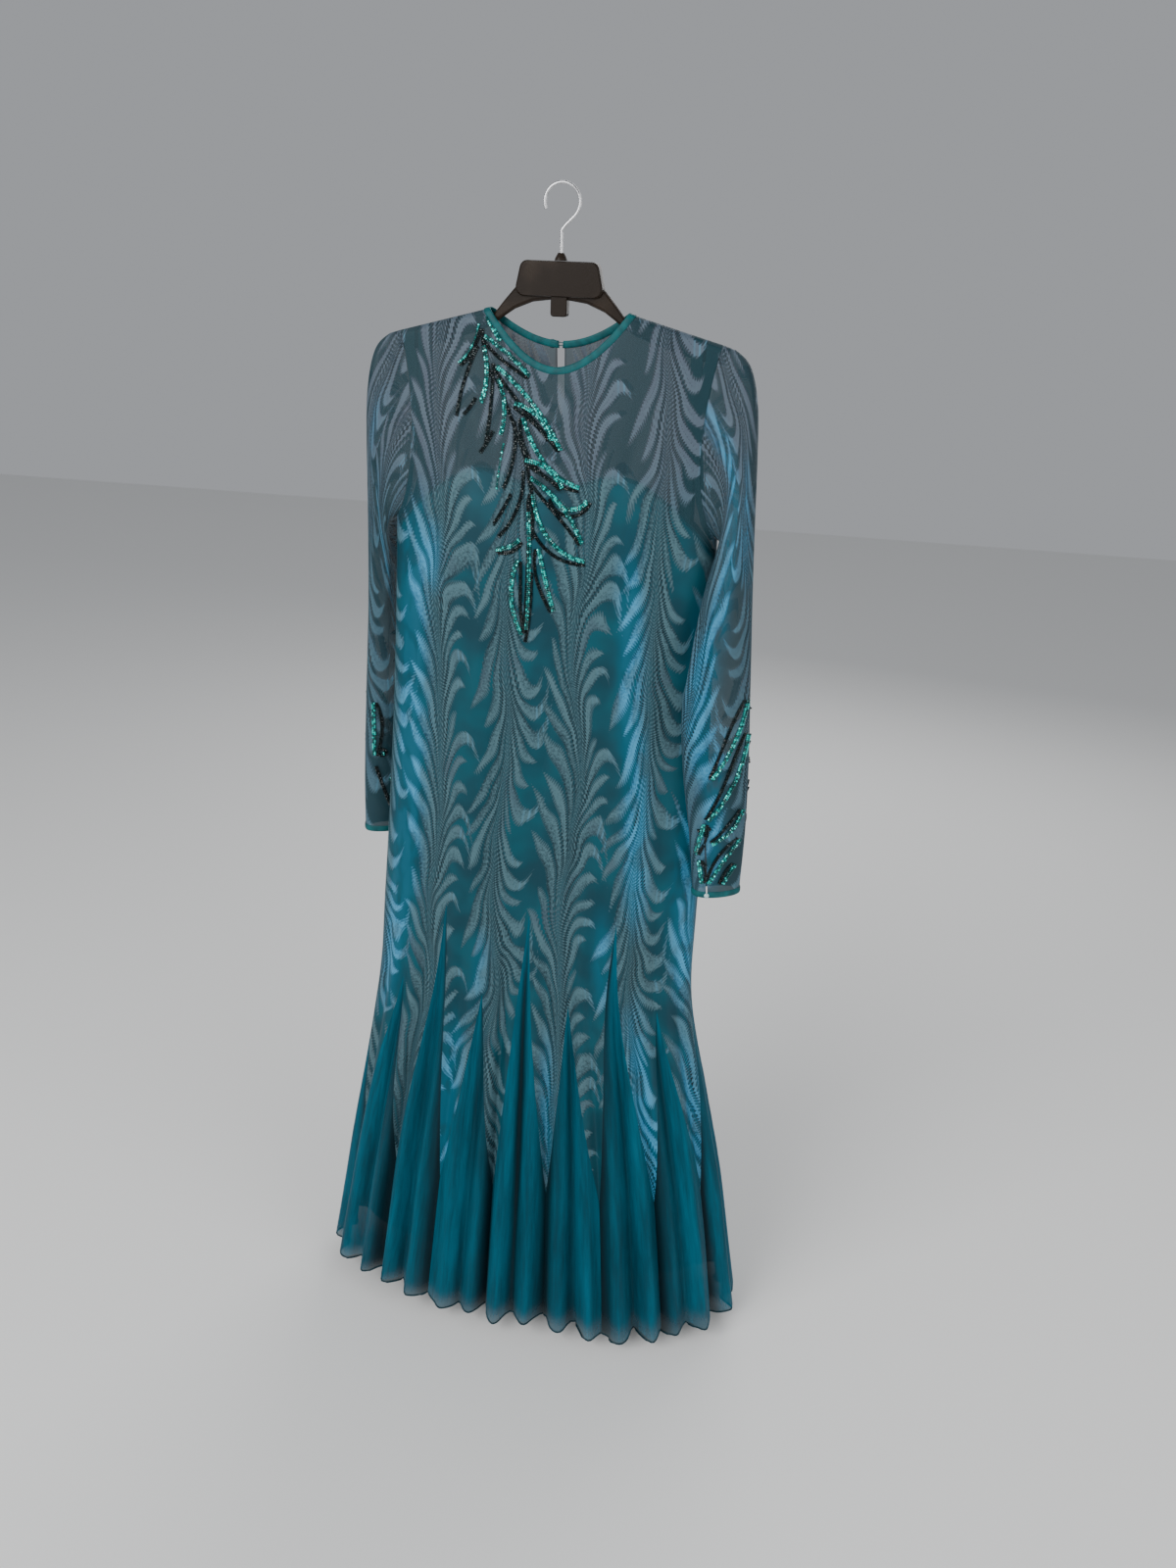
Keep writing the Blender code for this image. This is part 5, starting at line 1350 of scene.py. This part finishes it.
# The beadwork, sewn on by hand: leaves of emerald rocailles in double rows, each lined with a row of
# black ones, spray down from the wearer's right shoulder, and more of them sweep round the cuffs.
def bead_finish(name, dark, bright, **plain):
    """Glass beads that differ in shade and polish from one to the next."""
    graph = finish(name, coat_roughness=0.05, **plain)
    each = graph.attribute("bead")
    colour = graph.mix(graph.ease(each, 0.35, 0.90), dark, bright)
    return graph.give(base_color=colour, roughness=graph.ease(each, 0.0, 1.0, 0.10, 0.26))


green, bright_green = (0.001, 0.085, 0.082), (0.014, 0.640, 0.570)
emerald = bead_finish("emerald_rocaille", green, bright_green, metallic=0.45, coat_weight=0.7)
black, soft_black = (0.0008, 0.0040, 0.0048), (0.0025, 0.0130, 0.0140)
jet = bead_finish("black_rocaille", black, soft_black, coat_weight=0.15, specular_ior_level=0.30)
surfaces = {}
for name in ("front_panel_cloth", "sleeve_left_cloth", "sleeve_right_cloth"):
    mesh = bpy.data.objects[name].data
    corners, faces = [v.co[:] for v in mesh.vertices], [face.vertices[:] for face in mesh.polygons]
    surfaces[name] = BVHTree.FromPolygons(corners, faces)

BEAD_PITCH, BEAD_LENGTH, BEAD_LIFT = 0.0023, 0.78, 0.72
LEAF_HALF_WIDTH, LEAF_BULGE, MOST_BULGE = 3.4, 0.085, 7.5
GREEN_RADIUS, SINGLE_RADIUS, BLACK_RADIUS = 0.00148, 0.00140, 0.00135
GREEN_ASIDE, BLACK_ASIDE = 1.20, 0.95
BEAD_RINGS = ((0.50, -1.0), (0.98, -0.45), (0.98, 0.45), (0.50, 1.0))
BEAD_SIDES = 6
RAY_START_Y = 0.25


def bent_path(x, z, heading, length, bend, late, step=0.0006):
    """A curving line in x and z, from a start heading (clockwise from up) that turns by bend."""
    count = max(4, int(length / 1000 / step))
    share = (np.arange(count) + 0.5) / count
    angle = np.radians(heading + bend * share**late)
    run = length / 1000 / count
    return x / 1000 + np.cumsum(np.sin(angle)) * run, z / 1000 + np.cumsum(np.cos(angle)) * run


class Beads:
    """Rocailles sewn along lines, gathered into one mesh."""

    def __init__(self, name, its_finish):
        self.name, self.finish = name, its_finish
        self.points, self.faces, self.shade = [], [], []

    def row(self, surface, xs, zs, aside, facing, radius):
        """One row of beads, aside from the line by some millimetres, laid on a surface."""
        along = unit(np.stack([np.gradient(xs), np.gradient(zs)], axis=-1))
        xs, zs = xs + along[:, 1] * aside / 1000, zs - along[:, 0] * aside / 1000
        run = run_along(np.stack([xs, zs], axis=-1))
        for number in range(int(run[-1] / BEAD_PITCH)):
            at = (number + 0.5) * BEAD_PITCH
            x, z, ahead_x, ahead_z = (float(np.interp(at, run, of)) for of in (xs, zs, *along.T))
            start = Vector((x, RAY_START_Y * facing, z))
            hit, normal, _, _ = surface.ray_cast(start, Vector((0.0, -facing, 0.0)))
            if hit is None:
                continue
            if normal.y * facing < 0:
                normal = -normal
            ahead = Vector((ahead_x, 0.0, ahead_z))
            ahead = (ahead - normal * ahead.dot(normal)).normalized()
            self.bead(hit + normal * radius * BEAD_LIFT, ahead, normal, radius)

    def bead(self, centre, axis, normal, radius):
        """One bead, tilted a little by chance."""
        start = len(self.points)
        per_bead = BEAD_SIDES * len(BEAD_RINGS)
        chance = math.sin((start // per_bead + 1) * 12.9898) * 43758.5453 % 1.0
        side = axis.cross(normal).normalized()
        tilt, lift = (chance - 0.5) * 0.2, (chance * 7.0 % 1.0 - 0.5) * 0.4
        axis = (axis + side * tilt + normal * lift).normalized()
        across = axis.orthogonal().normalized()
        other = axis.cross(across)
        for reach, height in BEAD_RINGS:
            for n in range(BEAD_SIDES):
                angle = math.tau * (n + chance) / BEAD_SIDES
                offset = across * math.cos(angle) + other * math.sin(angle)
                self.points.append(tuple(centre + (offset * reach + axis * BEAD_LENGTH * height) * radius))
        for low in range(start, start + per_bead - BEAD_SIDES, BEAD_SIDES):
            for n in range(BEAD_SIDES):
                after = (n + 1) % BEAD_SIDES
                self.faces.append((low + n, low + after, low + after + BEAD_SIDES, low + n + BEAD_SIDES))
        self.faces.append(tuple(reversed(range(start, start + BEAD_SIDES))))
        self.faces.append(tuple(range(start + per_bead - BEAD_SIDES, start + per_bead)))
        self.shade += [chance] * per_bead


def sew(bright, dark, surface, lines, facing=-1.0):
    """Sews a table of lines: start x and z, heading, length, bend, how late it bends, and its kind."""
    for x, z, heading, length, bend, late, kind in lines:
        xs, zs = bent_path(x, z, heading, length, bend, late)
        if kind == "green_one":
            bright.row(surface, xs, zs, 0.0, facing, SINGLE_RADIUS)
            continue
        if kind == "black":
            middle, side = 0.0, 1.0
        else:
            for aside in (-GREEN_ASIDE, GREEN_ASIDE):
                bright.row(surface, xs, zs, aside, facing, GREEN_RADIUS)
            bulge = np.sin(math.pi * np.linspace(0.0, 1.0, len(xs)) ** 0.8)
            middle = LEAF_HALF_WIDTH + min(MOST_BULGE, LEAF_BULGE * length) * bulge
            side = 1.0 if kind == "green_right" else -1.0
        if kind != "green":
            for aside in (-BLACK_ASIDE, BLACK_ASIDE):
                dark.row(surface, xs, zs, (middle + aside) * side, facing, BLACK_RADIUS)


# Columns: x and z of the start, heading, length, bend, how late it bends, and kind, in millimetres
# and degrees.
SPRAY = (
    (-80, -133, 147, 32, 0, 1.0, "green"),
    (-88, -141, 190, 50, 46, 1.5, "green_one"),
    (-86, -146, 192, 48, 44, 1.5, "black"),
    (-82, -154, 117, 68, 18, 1.0, "green_right"),
    (-82, -163, 162, 62, 40, 1.2, "green"),
    (-88, -218, 204, 24, 24, 1.0, "black"),
    (-88, -164, 206, 80, -20, 1.0, "black"),
    (-67, -184, 124, 118, 26, 1.0, "green_right"),
    (-64, -197, 150, 62, 48, 1.0, "green"),
    (-66, -252, 204, 30, 12, 1.0, "black"),
    (-70, -181, 178, 90, 10, 1.0, "black"),
    (-44, -222, 98, 62, 64, 1.0, "green_right"),
    (-33, -236, 158, 104, -56, 1.5, "green_right"),
    (-28, -281, 92, 56, 62, 1.0, "green_right"),
    (5, -318, 146, 50, -120, 1.2, "green_right"),
    (-21, -299, 118, 96, 40, 1.0, "green_right"),
    (-17, -316, 172, 104, -78, 1.3, "green_right"),
    (-32, -391, 202, 92, -52, 1.0, "green_left"),
    (-21, -336, 176, 138, 8, 1.0, "green"),
    (-8, -376, 168, 76, -6, 1.0, "green_right"),
    (-30, -368, 222, 32, 46, 1.0, "green_left"),
    (-16, -404, 178, 84, 12, 1.0, "black"),
    (-43, -240, 166, 76, 42, 1.0, "black"),
    (-53, -264, 190, 52, -6, 1.0, "green_one"),
    (-29, -292, 174, 84, 52, 1.0, "black"),
    (-42, -318, 204, 42, 10, 1.0, "black"),
    (-84, -146, 178, 52, -24, 1.0, "black"),
    (-66, -196, 154, 88, 2, 1.0, "black"),
    (-30, -272, 160, 98, 24, 1.0, "black"),
    (-20, -366, 180, 112, 4, 1.0, "black"),
)
LEFT_CUFF = (
    (240, -536, 184, 102, 30, 1.0, "green_right"),
    (244, -576, 182, 116, 38, 1.2, "green_right"),
    (246, -672, 190, 56, 58, 1.0, "green_right"),
    (246, -710, 216, 66, -12, 1.0, "green_right"),
    (243, -742, 208, 30, 0, 1.0, "green_right"),
    (203, -686, 190, 42, 0, 1.0, "green_left"),
    (200, -734, 170, 34, 0, 1.0, "green_left"),
    (212, -692, 250, 18, 20, 1.0, "black"),
)
RIGHT_CUFF = (
    (-213, -700, 126, 50, 44, 1.0, "green_left"),
    (-227, -682, 168, 74, -8, 1.0, "black"),
    (-228, -596, 180, 74, 2, 1.0, "green_left"),
    (-222, -660, 60, 22, 290, 1.0, "black"),
    (-219, -664, 90, 9, 300, 1.0, "green_one"),
)
BACK_CUFF = (
    (240, -548, 182, 104, 34, 1.0, "green_left"),
    (243, -610, 184, 104, 40, 1.2, "green_left"),
    (244, -682, 194, 60, 52, 1.0, "green_left"),
    (243, -722, 214, 46, -8, 1.0, "green_left"),
    (206, -684, 188, 60, 6, 1.0, "green_right"),
)
green_beads, black_beads = Beads("emerald_beads", emerald), Beads("black_beads", jet)
mirrored = []
for x, z, heading, length, bend, late, kind in BACK_CUFF:
    kind = "green_right" if kind == "green_left" else "green_left"
    mirrored.append((-x + 3, z, -heading, length, -bend, late, kind))
for name, lines, facing in (
    ("front_panel_cloth", SPRAY, -1.0),
    ("sleeve_left_cloth", LEFT_CUFF, -1.0),
    ("sleeve_right_cloth", RIGHT_CUFF, -1.0),
    ("sleeve_left_cloth", BACK_CUFF, 1.0),
    ("sleeve_right_cloth", mirrored, 1.0),
):
    sew(green_beads, black_beads, surfaces[name], lines, facing)
for beads in (green_beads, black_beads):
    shade = np.array(beads.shade)
    made = mesh_object(beads.name, beads.points, beads.faces, beads.finish, smooth=False, bead=shade)


# Stage: a plain pale floor and backdrop under soft studio light, seen as in the photograph.
# Columns: name, width, height, watts, place, and the height aimed at.
LIGHTS = (
    ("key", 2.4, 2.0, 110, (-1.5, -2.6, 0.9), -0.75),
    ("fill", 2.0, 2.4, 40, (2.3, -1.6, 0.0), -0.80),
    ("back_glow", 2.0, 2.0, 30, (0.4, 2.2, 0.6), -0.70),
)
FLOOR_Z = -1.4600
for name, wide, high, power, stand, aim_z in LIGHTS:
    lamp = bpy.data.lights.new(name, "AREA")
    lamp.shape = "RECTANGLE"
    lamp.size, lamp.size_y = wide, high
    lamp.energy = power
    placed = bpy.data.objects.new(name, lamp)
    placed.location = stand
    aim = Vector((0.0, 0.0, aim_z)) - placed.location
    placed.rotation_euler = aim.to_track_quat("-Z", "Y").to_euler()
    bpy.context.scene.collection.objects.link(placed)

world = bpy.data.worlds.new("studio")
world.use_nodes = True
world.node_tree.nodes["Background"].inputs["Color"].default_value = (0.92, 0.95, 1.0, 1.0)
world.node_tree.nodes["Background"].inputs["Strength"].default_value = 0.38
bpy.context.scene.world = world

floor_mesh = bpy.data.meshes.new("floor")
corners = [(x, y, FLOOR_Z) for x, y in ((-6, -6), (6, -6), (6, 6), (-6, 6))]
floor_mesh.from_pydata(corners, [], [(0, 1, 2, 3)])
floor_mesh.materials.append(finish("pale_paper", roughness=0.9, base_color=(0.80, 0.80, 0.79)).owner)
floor = bpy.data.objects.new("floor", floor_mesh)
bpy.context.scene.collection.objects.link(floor)

lens = bpy.data.cameras.new("camera")
lens.sensor_width = 36.0
lens.sensor_fit = "AUTO"
lens.lens = 29.25
camera = bpy.data.objects.new("camera", lens)
forward = Vector((-0.1729, 0.9099, -0.3770)).normalized()
right = forward.cross(Vector((0.0, 0.0, 1.0))).normalized()
up = right.cross(forward)
turned_by = math.radians(2.22)
right, up = (
    right * math.cos(turned_by) + up * math.sin(turned_by),
    up * math.cos(turned_by) - right * math.sin(turned_by),
)
turn = Matrix((right, up, -forward)).transposed().to_4x4()
camera.matrix_world = Matrix.Translation((0.3245, -1.4372, -0.0779)) @ turn
bpy.context.scene.collection.objects.link(camera)
bpy.context.scene.camera = camera
